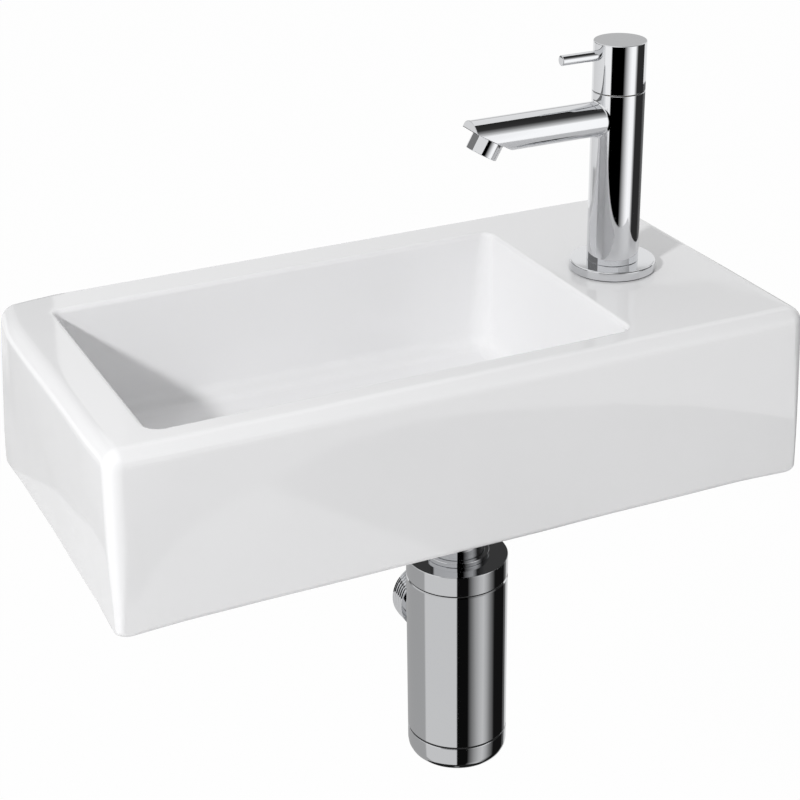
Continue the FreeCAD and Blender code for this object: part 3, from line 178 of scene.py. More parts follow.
class HandBasinStage(PropertyGroup):
    """Camera, floor and light."""

    camera_x: FloatProperty(name="Camera X", description="Camera right of the basin's middle",
                            default=-404.75 * MM, unit="LENGTH", subtype="DISTANCE")
    camera_y: FloatProperty(name="Camera Y", description="Camera in front of the wall",
                            default=-985.8 * MM, unit="LENGTH", subtype="DISTANCE")
    camera_z: FloatProperty(name="Camera Z", description="Camera above the fixing holes",
                            default=445.0 * MM, unit="LENGTH", subtype="DISTANCE")
    yaw: angle("Yaw", "Camera turned to the right", 24.90)
    pitch: angle("Pitch", "Camera looking down", 25.59)
    roll: angle("Roll", "Camera leaning to the left", -0.80)
    lens: FloatProperty(name="Lens", description="Focal length in millimetres", default=85.5, min=1.0)
    sensor: FloatProperty(name="Sensor", description="Width of the sensor in millimetres", default=36.0,
                          min=1.0)
    nearest: length("Nearest", "Nearest point that the camera sees", 0.05)
    floor_drop: length("Floor", "Floor below the fixing holes", 0.82)
    floor_reach: length("Floor reach", "Floor from its middle to its sides", 8.0)
    floor_white: FloatProperty(name="Floor white", description="Share of plain white in the floor as seen",
                               default=0.975, min=0.0, max=1.0)
    fill: FloatProperty(name="Fill", description="Strength of the even light from all round", default=0.57)
    cards: FloatProperty(name="Cards", description="Strength of the cards that the metal mirrors",
                         default=0.84)
    key: power("Key", "Power of the small lamp at the left", 21.6)
    key_size: length("Key size", "Side of the small lamp", 0.13)
    key_distance: length("Key distance", "Small lamp from the basin", 2.0)
    key_aim: FloatVectorProperty(name="Key aim", description="Way that the small lamp faces",
                                 default=(1.0, 0.6, -0.75), subtype="DIRECTION")


def sizes():
    return bpy.context.scene.hand_basin_sizes


def colours():
    return bpy.context.scene.hand_basin_colours


def staging():
    return bpy.context.scene.hand_basin_stage


# Materials


def add_node(tree, kind, inputs=None, **settings):
    """Add a node, give it its settings, and set or link its inputs."""
    node = tree.nodes.new(kind)
    for name, value in settings.items():
        setattr(node, name, value)
    for name, value in (inputs or {}).items():
        if isinstance(value, bpy.types.NodeSocket):
            tree.links.new(value, node.inputs[name])
        else:
            node.inputs[name].default_value = value
    return node


def new_material(name):
    material = bpy.data.materials.new(name)
    material.use_nodes = True
    material.node_tree.nodes.clear()
    return material, material.node_tree


def per(size):
    """Pattern scale that gives features of a size in metres."""
    return 1 / size


def opaque(values):
    return (*values, 1.0)


def own_place(tree):
    """Places on a piece, in metres."""
    return add_node(tree, "ShaderNodeTexCoord").outputs["Object"]


def clouds(tree, place, size, detail):
    """A cloudy pattern with features of a size in metres."""
    node = add_node(tree, "ShaderNodeTexNoise", {"Vector": place, "Scale": per(size), "Detail": detail})
    return node.outputs["Fac"]


def levels(tree, pattern, least, most):
    """Levels that follow a pattern, from the least to the most."""
    node = add_node(tree, "ShaderNodeMapRange", {"Value": pattern, "To Min": least, "To Max": most})
    return node.outputs["Result"]


def relief(tree, pattern, strength, depth, **below):
    """Bumps that follow a pattern; Normal holds the bumps that they lie on."""
    node = add_node(tree, "ShaderNodeBump", {"Height": pattern, "Strength": strength, "Distance": depth,
                                             **below})
    return node.outputs["Normal"]


def finish(tree, inputs):
    """Close a material with a shader that holds these inputs."""
    surface = add_node(tree, "ShaderNodeBsdfPrincipled", inputs)
    add_node(tree, "ShaderNodeOutputMaterial", {"Surface": surface.outputs["BSDF"]})


def glazed_china():
    """Vitreous china under a thick white glaze: a soft gloss that pools unevenly, bare clay at the foot."""
    material, tree = new_material("glazed_vitreous_china")
    place = own_place(tree)
    # The glaze flows before it sets, so its surface swells slightly over a few centimetres.
    swell = relief(tree, clouds(tree, place, 45 * MM, 1.0), 0.30, 0.6 * MM)
    peel = clouds(tree, place, 6 * MM, 2.0)
    # The foot stands bare in the kiln, and the glaze starts a little above it.
    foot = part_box("basin")[0].z
    height = add_node(tree, "ShaderNodeSeparateXYZ", {"Vector": place})
    bare = add_node(tree, "ShaderNodeMapRange", {"Value": height.outputs["Z"], "From Min": foot + 0.3 * MM,
                                                 "From Max": foot + 0.9 * MM, "To Min": 1.0, "To Max": 0.0})
    tone = add_node(tree, "ShaderNodeMix", {"Factor": bare.outputs["Result"], "A": opaque(colours().glaze),
                                            "B": opaque(colours().bisque)}, data_type="RGBA")
    matt = add_node(tree, "ShaderNodeMix", {"Factor": bare.outputs["Result"],
                                            "A": levels(tree, peel, 0.03, 0.08), "B": 0.8})
    finish(tree, {"Base Color": tone.outputs["Result"], "Roughness": matt.outputs["Result"], "IOR": 1.52,
                  "Normal": relief(tree, peel, 0.12, 0.05 * MM, Normal=swell)})
    return material


def polished_chrome():
    """Chrome plate on polished brass: a bright mirror, faintly wavy where it was buffed."""
    material, tree = new_material("polished_chrome_plate")
    place = own_place(tree)
    buffed = clouds(tree, place, 9 * MM, 1.0)
    haze = clouds(tree, place, 14 * MM, 3.0)
    finish(tree, {"Base Color": opaque(colours().chrome), "Metallic": 1.0,
                  "Roughness": levels(tree, haze, 0.02, 0.07),
                  "Normal": relief(tree, buffed, 0.10, 0.05 * MM)})
    return material


def machined_brass():
    """Bare brass as it left the lathe: yellow, with fine tool marks that blur its shine."""
    material, tree = new_material("machined_brass")
    place = own_place(tree)
    marks = add_node(tree, "ShaderNodeTexWave", {"Vector": place, "Scale": per(2 * MM), "Distortion": 1.5,
                                                 "Detail": 2.0}, bands_direction="Z")
    stain = clouds(tree, place, 8 * MM, 3.0)
    finish(tree, {"Base Color": opaque(colours().brass), "Metallic": 1.0,
                  "Roughness": levels(tree, stain, 0.24, 0.38),
                  "Normal": relief(tree, marks.outputs["Fac"], 0.15, 0.03 * MM)})
    return material


def moulded_rubber():
    """Black moulded rubber: matt, with a fine grain from the mould."""
    material, tree = new_material("moulded_black_rubber")
    grain = clouds(tree, own_place(tree), 0.8 * MM, 2.0)
    finish(tree, {"Base Color": opaque(colours().rubber), "Roughness": levels(tree, grain, 0.5, 0.7),
                  "IOR": 1.52, "Normal": relief(tree, grain, 0.3, 0.05 * MM)})
    return material


def satin_steel():
    """Stainless steel with a satin face: grey, its shine drawn out by fine rolling lines."""
    material, tree = new_material("satin_stainless_steel")
    stretch = add_node(tree, "ShaderNodeMapping", {"Vector": own_place(tree), "Scale": (1.0, 12.0, 12.0)})
    lines = clouds(tree, stretch.outputs["Vector"], 5 * MM, 3.0)
    finish(tree, {"Base Color": opaque(colours().steel), "Metallic": 1.0,
                  "Roughness": levels(tree, lines, 0.2, 0.36),
                  "Normal": relief(tree, lines, 0.12, 0.02 * MM)})
    return material


def lapped_alumina():
    """Alumina lapped flat: ivory white, nearly polished, with a trace of grit."""
    material, tree = new_material("lapped_alumina")
    grit = clouds(tree, own_place(tree), 0.6 * MM, 2.0)
    finish(tree, {"Base Color": opaque(colours().alumina), "Roughness": levels(tree, grit, 0.12, 0.25),
                  "IOR": 1.76})
    return material


def moulded_plastic():
    """White moulded acetal: smooth and faintly waxy."""
    material, tree = new_material("moulded_white_acetal")
    flow = clouds(tree, own_place(tree), 3 * MM, 1.0)
    finish(tree, {"Base Color": opaque(colours().plastic), "Roughness": levels(tree, flow, 0.3, 0.42),
                  "IOR": 1.48})
    return material


FINISHES = {
    "vitreous_china": glazed_china,
    "chromed_brass": polished_chrome,
    "bare_brass": machined_brass,
    "black_rubber": moulded_rubber,
    "stainless_steel": satin_steel,
    "alumina": lapped_alumina,
    "white_plastic": moulded_plastic,
}
SLOT_OF = {subpart["node"]: subpart["material_slot"] for subpart in frame["record"]["subparts"]}
BODY_OF = {node: body for body, nodes in frame["record"]["behaviour"]["bodies"].items() for node in nodes}
made_finishes = {}
replaced = set()


def finish_for(slot):
    """The material of a slot, made once."""
    if slot not in made_finishes:
        made_finishes[slot] = FINISHES[slot]()
    return made_finishes[slot]


# Mesh helpers


def soft_shading():
    """Nodes that join a carried-over node's loose triangles and shade its round faces smooth."""
    name = "soft_shading"
    if name in bpy.data.node_groups:
        return bpy.data.node_groups[name]
    tree = bpy.data.node_groups.new(name, "GeometryNodeTree")
    tree.interface.new_socket("Geometry", in_out="INPUT", socket_type="NodeSocketGeometry")
    tree.interface.new_socket("Geometry", in_out="OUTPUT", socket_type="NodeSocketGeometry")
    start = add_node(tree, "NodeGroupInput")
    joined = add_node(tree, "GeometryNodeMergeByDistance", {"Geometry": start.outputs["Geometry"],
                                                            "Distance": MERGE})
    smooth = add_node(tree, "GeometryNodeSetShadeSmooth", {"Geometry": joined.outputs["Geometry"],
                                                           "Shade Smooth": True}, domain="FACE")
    bend = add_node(tree, "GeometryNodeInputMeshEdgeAngle")
    crisp = add_node(tree, "FunctionNodeCompare", {"A": bend.outputs["Unsigned Angle"], "B": KEPT_BEND},
                     data_type="FLOAT", operation="GREATER_THAN")
    split = add_node(tree, "GeometryNodeSetShadeSmooth", {"Geometry": smooth.outputs["Geometry"],
                                                          "Selection": crisp.outputs["Result"],
                                                          "Shade Smooth": False}, domain="EDGE")
    add_node(tree, "NodeGroupOutput", {"Geometry": split.outputs["Geometry"]})
    return tree


def weigh_normals(piece):
    """Keep flat faces flat in the gloss, with the bend only in the rounded edges."""
    modifier = piece.modifiers.new("flat_faces", "WEIGHTED_NORMAL")
    modifier.keep_sharp = True


def add_piece(bm, name, node):
    """Put a mesh in the scene in place of a node, on that node's body and with its finish."""
    mesh = bpy.data.meshes.new(name)
    bm.to_mesh(mesh)
    bm.free()
    mesh.shade_smooth()
    mesh.set_sharp_from_angle(angle=MADE_BEND)
    mesh.materials.append(finish_for(SLOT_OF[node]))
    piece = bpy.data.objects.new(name, mesh)
    bpy.context.scene.collection.objects.link(piece)
    weigh_normals(piece)
    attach(piece, BODY_OF[node])
    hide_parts(node)
    replaced.add(node)


def keep_node(node):
    """Finish a node that stays as it is."""
    piece = frame["nodes"][node]
    piece.data.materials.clear()
    piece.data.materials.append(finish_for(SLOT_OF[node]))
    modifier = piece.modifiers.new("soft_shading", "NODES")
    modifier.node_group = soft_shading()
    weigh_normals(piece)


def turned(outline, closed=True):
    """Turn an outline of (radius, height, rounding) corners about the Z axis."""
    bm = bmesh.new()
    corners = [bm.verts.new((radius, 0, height)) for radius, height, rounding in outline]
    pairs = list(zip(corners, corners[1:]))
    if closed:
        pairs.append((corners[-1], corners[0]))
    for pair in pairs:
        bm.edges.new(pair)
    for corner, (radius, height, rounding) in zip(corners, outline):
        if rounding:
            bmesh.ops.bevel(bm, geom=[corner], offset=rounding, offset_type="OFFSET", affect="VERTICES",
                            segments=ROUNDING_STEPS, profile=0.5, material=-1)
    bmesh.ops.spin(bm, geom=bm.verts[:] + bm.edges[:], cent=(0, 0, 0), axis=UP, dvec=(0, 0, 0),
                   angle=math.tau, steps=sizes().turn_steps, use_merge=True)
    close_up(bm)
    return bm


def put(bm, place, towards=UP):
    """Face a shape that was made about the Z axis in a direction, and move it to its place."""
    turn = UP.rotation_difference(towards).to_matrix()
    bmesh.ops.rotate(bm, verts=bm.verts, cent=(0, 0, 0), matrix=turn)
    bmesh.ops.translate(bm, verts=bm.verts, vec=place)
    return bm


def close_up(bm):
    """Merge doubles and point the faces outwards."""
    bmesh.ops.remove_doubles(bm, verts=bm.verts, dist=MERGE)
    bmesh.ops.recalc_face_normals(bm, faces=bm.faces)


def open_edges(bm, near, far):
    """The open edges of a shape made about the Z axis, between two heights."""
    return [edge for edge in bm.edges
            if edge.is_boundary and all(near <= vert.co.z <= far for vert in edge.verts)]


def slice_by(bm, place, facing, **more):
    """Cut a shape along a plane; with clear_outer, what lies on the side that it faces goes."""
    return bmesh.ops.bisect_plane(bm, geom=bm.verts[:] + bm.edges[:] + bm.faces[:], dist=MERGE,
                                  plane_co=place, plane_no=facing, **more)


def round_crisp(bm, radius, above=-math.inf):
    """Round the sharp edges that lie above a height."""
    crisp = [edge for edge in bm.edges if edge.calc_face_angle(0) > ROUNDED_BEND
             and all(vert.co.z > above for vert in edge.verts)]
    bmesh.ops.bevel(bm, geom=crisp, offset=radius, offset_type="OFFSET", affect="EDGES",
                    segments=CUT_ROUNDING_STEPS, profile=0.5, material=-1)


def seat_on(verts, radius, sideways):
    """Move a branch's root out along Z onto a round piece; sideways is square to both their axes."""
    for vert in verts:
        vert.co.z += math.sqrt(radius ** 2 - vert.co.dot(sideways) ** 2)


def fade(value, start, stop):
    """Rise smoothly from 0 at the start to 1 at the stop."""
    share = min(max((value - start) / (stop - start), 0), 1)
    return share * share * (3 - 2 * share)


# Pieces


class HANDBASIN_OT_basin(Operator):
    """Make the ceramic basin, with the slight unevenness that firing gives it"""

    bl_idname = "hand_basin.basin"
    bl_label = "Basin"

    def execute(self, context):
        size = sizes()
        low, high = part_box("basin")
        bm = bmesh.new()
        bm.from_mesh(frame["nodes"]["basin"].data)
        bmesh.ops.remove_doubles(bm, verts=bm.verts, dist=MERGE)
        for axis in range(3):
            normal = Vector((0, 0, 0))
            normal[axis] = 1
            count = math.ceil((high[axis] - low[axis]) / size.warp_step)
            for step in range(1, count):
                slice_by(bm, low.lerp(high, step / count), normal)
        seats = [foot_of("tap_body").xy, foot_of("trap_body").xy]
        for vert in bm.verts:
            vert.co = self.fired(vert.co, low, high, seats)
        add_piece(bm, "ceramic_basin", "basin")
        return {"FINISHED"}

    def fired(self, point, low, high, seats):
        """Where a point of the ceramic ends up in the kiln: walls drawn in a little, corners slumped."""
        size = sizes()
        across = (point.x - low.x) / (high.x - low.x) * 2 - 1
        ahead = (high.y - point.y) / (high.y - low.y)
        down = (high.z - point.z) / (high.z - low.z)
        away = fade(min((point.xy - seat).length for seat in seats), size.flat_seat, size.flat_seat * 2)
        swell = 0.5 + 0.5 * noise.noise(point / size.warp_wave)
        drawn = size.warp * swell * away
        moved = point + Vector((-across ** 3, ahead ** 3, down ** 3)) * drawn
        for side, depth, slump in ((low.x, high.y, size.slump_back_left),
                                   (high.x, high.y, size.slump_back_right),
                                   (low.x, low.y, size.slump_front_left),
                                   (high.x, low.y, size.slump_front_right)):
            corner = Vector((side, depth))
            near = 1 - fade((point.xy - corner).length, 0, size.slump_reach)
            inwards = (low + high).xy / 2 - corner
            inwards = Vector((math.copysign(1, inwards.x), math.copysign(1, inwards.y), 0)).normalized()
            moved += inwards * near * (slump * (1 - down) - size.foot_swell * down)
        return Vector([min(max(value, least), most) for value, least, most in zip(moved, low, high)])


class HANDBASIN_OT_tap_column(Operator):
    """Make the tap's round base, its column, and the cap and lever of its handle"""

    bl_idname = "hand_basin.tap_column"
    bl_label = "Tap column"

    def execute(self, context):
        size = sizes()
        column = radius_of("tap_body")
        inside = radius_of("tap_shank")
        base = radius_of("tap_base_flange")
        top = height_of("tap_base_flange")
        plate = turned([(inside, 0, 0), (base, 0, 0), (base, top, size.base_edge), (inside, top, 0)])
        add_piece(put(plate, foot_of("tap_base_flange")), "tap_base", "tap_base_flange")

        tall = height_of("tap_body")
        shaft = turned([(inside, 0, 0), (column, 0, size.seam_edge), (column, tall, size.seam_edge),
                        (inside, tall, 0)])
        add_piece(put(shaft, foot_of("tap_body")), "tap_column", "tap_body")

        tall = height_of("handle_cap")
        hollow = radius_of("cartridge_body") + size.cap_room
        head = turned([(0, size.cap_hollow, 0), (hollow, size.cap_hollow, 0), (hollow, 0, 0),
                       (column, 0, size.seam_edge), (column, tall, size.cap_edge), (0, tall, 0)],
                      closed=False)
        add_piece(put(head, foot_of("handle_cap")), "tap_handle_cap", "handle_cap")

        low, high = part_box("handle_lever")
        radius = (high.z - low.z) / 2
        reach = high.x - low.x
        rod = turned([(0, 0, 0), (radius, 0, 0), (radius, reach, size.lever_edge), (0, reach, 0)],
                     closed=False)
        root = Vector((high.x, (low.y + high.y) / 2, (low.z + high.z) / 2))
        add_piece(put(rod, root, TO_BOWL), "tap_lever", "handle_lever")
        return {"FINISHED"}


class HANDBASIN_OT_spout(Operator):
    """Make the spout, with its flat nose and slanted mouth, and the aerator on it"""

    bl_idname = "hand_basin.spout"
    bl_label = "Spout"

    def execute(self, context):
        size = sizes()
        low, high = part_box("tap_spout")
        radius = (high.z - low.z) / 2
        axis = Vector((foot_of("tap_body").x, (low.y + high.y) / 2, (low.z + high.z) / 2))
        reach = axis.x - low.x
        column = radius_of("tap_body")
        bm = turned([(radius + size.bead, 0, 0), (radius, 0, size.bead), (radius, reach, 0)], closed=False)
        seat_on([vert for vert in bm.verts if vert.co.z < reach / 2], column, TO_WALL)
        bmesh.ops.edgeloop_fill(bm, edges=open_edges(bm, 0, reach / 2))
        bmesh.ops.edgeloop_fill(bm, edges=open_edges(bm, reach / 2, reach + MERGE))

        # The slice runs from the flat nose back to the lower tip.
        slice_face = Vector((-math.cos(size.spout_slant), 0, math.sin(size.spout_slant)))
        sliced = slice_by(bm, UP * size.spout_mouth, slice_face, clear_outer=True)
        rim = [item for item in sliced["geom_cut"] if isinstance(item, bmesh.types.BMEdge)]
        bmesh.ops.edgeloop_fill(bm, edges=rim)
        close_up(bm)
        round_crisp(bm, size.spout_edge, above=reach / 2)
        add_piece(put(bm, axis, TO_BOWL), "tap_spout_tube", "tap_spout")

        # A spanner grips four flats, which face between the slant and the sides.
        low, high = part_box("aerator_housing")
        bm = bmesh.new()
        steps = size.turn_steps
        outside = bmesh.ops.create_circle(bm, segments=steps, radius=(high.y - low.y) / 2)["verts"]
        for quarter in range(4):
            turn = Matrix.Rotation(RIGHT_ANGLE * (quarter + 0.5), 3, "Z")
            flat_face = turn @ -TO_BOWL
            for vert in outside:
                over = vert.co.dot(flat_face) - size.aerator_flats / 2
                vert.co -= flat_face * max(over, 0)
        bmesh.ops.create_circle(bm, segments=steps, radius=size.aerator_mouth)
        bmesh.ops.bridge_loops(bm, edges=bm.edges[:])
        bmesh.ops.solidify(bm, geom=bm.faces[:], thickness=size.aerator_drop)
        lowest = min(vert.co.z for vert in bm.verts)
        bmesh.ops.translate(bm, verts=bm.verts, vec=UP * -lowest)
        close_up(bm)
        round_crisp(bm, size.aerator_edge)
        down_slant = Vector((math.cos(size.spout_slant), 0, -math.sin(size.spout_slant)))
        facing = Vector((-math.sin(size.spout_slant), 0, -math.cos(size.spout_slant)))
        mouth = axis + TO_BOWL * size.spout_mouth + down_slant * size.aerator_shift
        add_piece(put(bm, mouth, facing), "tap_aerator", "aerator_housing")
        return {"FINISHED"}


class HANDBASIN_OT_trap(Operator):
    """Make the trap's cup, head and collar"""

    bl_idname = "hand_basin.trap"
    bl_label = "Trap"

    def execute(self, context):
        size = sizes()
        edge = size.trap_edge
        radius = radius_of("trap_body")
        bore = radius - size.trap_wall
        low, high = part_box("trap_cup")
        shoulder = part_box("trap_cup_seal")[0].z - low.z
        spigot = bore - size.trap_room
        inside = spigot - size.skirt_wall
        top = high.z - low.z
        cup = turned([(0, 0, 0), (radius, 0, size.cup_foot), (radius, shoulder, edge), (spigot, shoulder, 0),
                      (spigot, top, size.seam_edge), (inside, top, size.seam_edge),
                      (inside, size.cup_floor, size.cup_hollow), (0, size.cup_floor, 0)], closed=False)
        add_piece(put(cup, foot_of("trap_cup")), "trap_screw_cup", "trap_cup")

        low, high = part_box("trap_head")
        tall = high.z - low.z
        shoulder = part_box("trap_head_seal")[1].z - low.z
        socket = size.collar_socket
        skirt = bore - size.skirt_wall
        head = turned([(socket, tall, size.seam_edge), (socket, shoulder, 0), (skirt, shoulder, 0),
                       (skirt, 0, 0), (bore, 0, 0), (bore, shoulder, 0), (radius, shoulder, edge),
                       (radius, tall, edge)])
        add_piece(put(head, foot_of("trap_head")), "trap_head_ring", "trap_head")

        collar = radius_of("trap_collar_nut")
        tall = height_of("trap_collar_nut")
        grip = size.collar_grip
        nut = turned([(size.collar_bore, 0, 0), (collar - size.collar_step, 0, 0),
                      (collar - size.collar_step, grip, 0), (collar, grip, size.seam_edge),
                      (collar, tall, edge), (size.collar_bore, tall, size.seam_edge)])
        add_piece(put(nut, foot_of("trap_collar_nut")), "trap_collar", "trap_collar_nut")
        return {"FINISHED"}


class HANDBASIN_OT_outlet(Operator):
    """Make the trap's outlet, with its pipe thread as a true screw"""

    bl_idname = "hand_basin.outlet"
    bl_label = "Trap outlet"

    def execute(self, context):
        size = sizes()
        low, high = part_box("trap_outlet_stub")
        axis = Vector(((low.x + high.x) / 2, foot_of("trap_body").y, (low.z + high.z) / 2))
        reach = high.y - axis.y
        crest = (high.z - low.z) / 2
        root = crest - size.thread_depth
        bore = root - size.outlet_wall
        start = radius_of("trap_body") + size.outlet_neck
        pitch = size.thread_pitch

        # One pitch of the thread is swept up a helix, past both ends, and trimmed to length.
        bm = bmesh.new()
        flat = pitch / 6
        below = start - pitch
        heights = (0, flat, pitch / 2, pitch / 2 + flat, pitch)
        points = [bm.verts.new((radius, 0, below + height))
                  for radius, height in zip((root, root, crest, crest, root), heights)]
        for pair in zip(points, points[1:]):
            bm.edges.new(pair)
        turns = math.ceil((reach - start) / pitch) + 2
        steps = size.turn_steps // 2 * turns
        bmesh.ops.spin(bm, geom=bm.verts[:] + bm.edges[:], cent=(0, 0, 0), axis=UP,
                       dvec=UP * pitch * turns / steps, angle=math.tau * turns, steps=steps)
        bmesh.ops.remove_doubles(bm, verts=bm.verts, dist=MERGE)
        for height, facing in ((start, -UP), (reach, UP)):
            slice_by(bm, (0, 0, height), facing, clear_outer=True)
        # The last thread is turned down so that a nut finds its way on.
        for vert in bm.verts:
            allowed = root + max(reach - vert.co.z, 0)
            if vert.co.xy.length > allowed:
                vert.co.xy *= allowed / vert.co.xy.length

        # Neck, bore and the face at each end
        tube = turned([(bore, reach, 0), (bore, 0, 0), (root + size.bead, 0, 0), (root, 0, size.bead),
                       (root, start, 0)], closed=False)
        seat_on([vert for vert in tube.verts if vert.co.z < start / 2], radius_of("trap_body"), TO_BOWL)
        neck = bpy.data.meshes.new("neck")
        tube.to_mesh(neck)
        tube.free()
        bm.from_mesh(neck)
        bpy.data.meshes.remove(neck)
        for height in (start, reach):
            bmesh.ops.bridge_loops(bm, edges=open_edges(bm, height - MERGE, height + MERGE))
        close_up(bm)
        add_piece(put(bm, axis, TO_WALL), "trap_outlet", "trap_outlet_stub")
        return {"FINISHED"}


class HANDBASIN_OT_kept_nodes(Operator):
    """Finish the nodes that keep their shape"""

    bl_idname = "hand_basin.kept_nodes"
    bl_label = "Other pieces"

    def execute(self, context):
        for node in frame["nodes"]:
            if node not in replaced:
                keep_node(node)
        return {"FINISHED"}


# Stage


TAP_REACH = 0.70
# Upright cards round the tap: the heights between which they stand, and their glow at angles in degrees to
# the right of the camera. At the left the tap mirrors a bright card, and the basin's face and edge mirror the
# dim ones above and below it.
TAP_CARDS = {
    "tap_card": (0.29, -0.40, (
        (-66, 1.2), (-60, 1.4), (-35, 1.4), (-31, 0.0), (20, 0.0), (34, 0.7), (46, 1.3), (56, 1.6),
        (70, 1.55), (78, 0.6), (84, 0.04), (128, 0.04))),
    "left_high_card": (0.45, 0.02, ((-135, 0.3), (-66, 0.3))),
    "left_card": (0.02, -0.13, ((-135, 1.0), (-66, 1.2))),
    "left_low_card": (-0.13, -0.40, (
        (-135, 1.0), (-118, 1.0), (-112, 0.6), (-82, 0.6), (-76, 1.1), (-66, 1.2))),
    "tap_edge_card": (-0.05, -0.40, ((128, 0.04), (140, 0.2), (170, 0.25))),
    "cap_card": (0.33, 0.50, ((140, 1.0), (160, 0.72), (200, 0.72), (220, 1.0))),
}
UNDER_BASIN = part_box("basin")[0].z - MM
# Cards round the trap: their outline as distances from its axis and heights, and their glow in the same way.
TRAP_CARDS = {
    "trap_card": (((0.50, -0.33), (0.50, -0.70), (0.25, -0.70)), (
        (-175, 0.5), (-78, 0.55), (-74, 0.9), (-1, 0.9), (1, 0.006), (24, 0.006), (40, 0.45), (52, 0.72),
        (61, 0.82), (70, 0.6), (80, 0.28), (93, 0.01), (128, 0.01), (134, 0.2), (138, 0.05), (143, 0.6),
        (150, 0.9), (175, 0.9))),
    "foot_card": (((0.02, -0.69), (0.25, -0.69)), ((-180, 0.02), (180, 0.02))),
    # The under card, just below the basin, is painted shade: the trap mirrors it in place of the basin's
    # shaded underside.
    "under_card": (((0.02, UNDER_BASIN), (0.26, UNDER_BASIN)), (
        (-180, 0.06), (-120, 0.06), (-105, 0.8), (-1, 0.9), (1, 0.0), (24, 0.0), (50, 0.5), (66, 0.6),
        (93, 0.02), (120, 0.06), (180, 0.06))),
}
# A level card above: two of its corners, its glow at places from front to back, and the strips that carry it
CEILING_CORNERS = (Vector((0.0, -3.1, 1.20)), Vector((2.4, 0.05, 1.20)))
CEILING_GLOW = ((-3.1, 1.0), (-1.95, 0.65), (-1.2, 0.25), (-0.85, 0.05), (0.05, 0.03))
CEILING_STRIPS = 60


def stage_object(name, bm, material):
    mesh = bpy.data.meshes.new(name)
    bm.to_mesh(mesh)
    bm.free()
    mesh.materials.append(material)
    thing = bpy.data.objects.new(name, mesh)
    bpy.context.scene.collection.objects.link(thing)
    return thing


def seen_background(tree):
    """One where a ray comes from the camera, or by a reflection or through glass."""
    ray = add_node(tree, "ShaderNodeLightPath").outputs
    first = add_node(tree, "ShaderNodeMath", {0: ray["Is Camera Ray"], 1: ray["Is Glossy Ray"]},
                     operation="MAXIMUM")
    both = add_node(tree, "ShaderNodeMath", {0: first.outputs["Value"], 1: ray["Is Transmission Ray"]},
                    operation="MAXIMUM")
    return both.outputs["Value"]


def add_floor():
    """A pale level floor, which is seen as white with a trace of shadow."""
    stage = staging()
    bm = bmesh.new()
    bmesh.ops.create_grid(bm, x_segments=1, y_segments=1, size=stage.floor_reach)
    bmesh.ops.translate(bm, verts=bm.verts, vec=(0, 0, -stage.floor_drop))
    material, tree = new_material("pale_floor")
    matt = add_node(tree, "ShaderNodeBsdfDiffuse", {"Color": opaque(colours().floor)})
    white = add_node(tree, "ShaderNodeEmission", {"Color": WHITE, "Strength": 1.0})
    share = add_node(tree, "ShaderNodeMath", {0: seen_background(tree), 1: stage.floor_white},
                     operation="MULTIPLY")
    mixed = add_node(tree, "ShaderNodeMixShader", {0: share.outputs["Value"], 1: matt.outputs["BSDF"],
                                                   2: white.outputs["Emission"]})
    add_node(tree, "ShaderNodeOutputMaterial", {"Surface": mixed.outputs["Shader"]})
    stage_object("floor", bm, material)


def add_world():
    """Even light from all round; the camera and the metal see plain white there."""
    world = bpy.data.worlds.new("studio")
    bpy.context.scene.world = world
    world.use_nodes = True
    tree = world.node_tree
    tree.nodes.clear()
    level = levels(tree, seen_background(tree), staging().fill, 1.0)
    light = add_node(tree, "ShaderNodeBackground", {"Color": WHITE, "Strength": level})
    add_node(tree, "ShaderNodeOutputWorld", {"Surface": light.outputs["Background"]})


def add_key():
    """A small square lamp at the upper left; the metal mirrors the cards instead of it."""
    stage = staging()
    lamp = bpy.data.lights.new("key_lamp", "AREA")
    lamp.energy = stage.key
    lamp.size = stage.key_size
    holder = bpy.data.objects.new("key_lamp", lamp)
    low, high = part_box("basin")
    aim = Vector(stage.key_aim).normalized()
    holder.location = (low + high) / 2 - aim * stage.key_distance
    holder.rotation_euler = aim.to_track_quat("-Z", "Y").to_euler()
    holder.visible_glossy = False
    bpy.context.scene.collection.objects.link(holder)


def between(knots, place):
    """Read a level off a list of (place, level) knots."""
    for (start, low), (stop, high) in zip(knots, knots[1:]):
        if place <= stop:
            return low + (high - low) * (place - start) / (stop - start)
    return knots[-1][1]


def glowing(name):
    """Light that follows the glow written on the card's corners; black where there is none."""
    material, tree = new_material(name)
    glow = add_node(tree, "ShaderNodeAttribute", attribute_name="glow")
    light = add_node(tree, "ShaderNodeEmission", {"Color": WHITE, "Strength": glow.outputs["Fac"]})
    add_node(tree, "ShaderNodeOutputMaterial", {"Surface": light.outputs["Emission"]})
    return material


def add_card(name, bm):
    """Put a card in the scene, and leave it to reflections alone."""
    card = stage_object(name, bm, glowing(name))
    card.visible_camera = False
    card.visible_diffuse = False
    card.visible_shadow = False


def round_card(name, axis, profile, knots):
    """A card turned about an axis from (distance, height) points, its glow at angles from the camera."""
    stage = staging()
    bm = bmesh.new()
    glow = bm.verts.layers.float.new("glow")
    towards = Vector((stage.camera_x - axis.x, stage.camera_y - axis.y, 0)).normalized()
    first, last = knots[0][0], knots[-1][0]
    outwards = Matrix.Rotation(math.radians(first), 3, "Z") @ towards
    points = [bm.verts.new(axis.xy.to_3d() + outwards * distance + UP * height)
              for distance, height in profile]
    edges = [bm.edges.new(pair) for pair in zip(points, points[1:])]
    bmesh.ops.spin(bm, geom=points + edges, cent=axis, axis=UP, dvec=(0, 0, 0),
                   angle=math.radians(last - first), steps=round(last - first))
    for vert in bm.verts:
        side = (vert.co - axis).xy.normalized()
        turn = math.degrees(math.atan2(towards.xy.cross(side), towards.xy.dot(side)))
        vert[glow] = stage.cards * between(knots, first + (turn - first) % 360)
    add_card(name, bm)


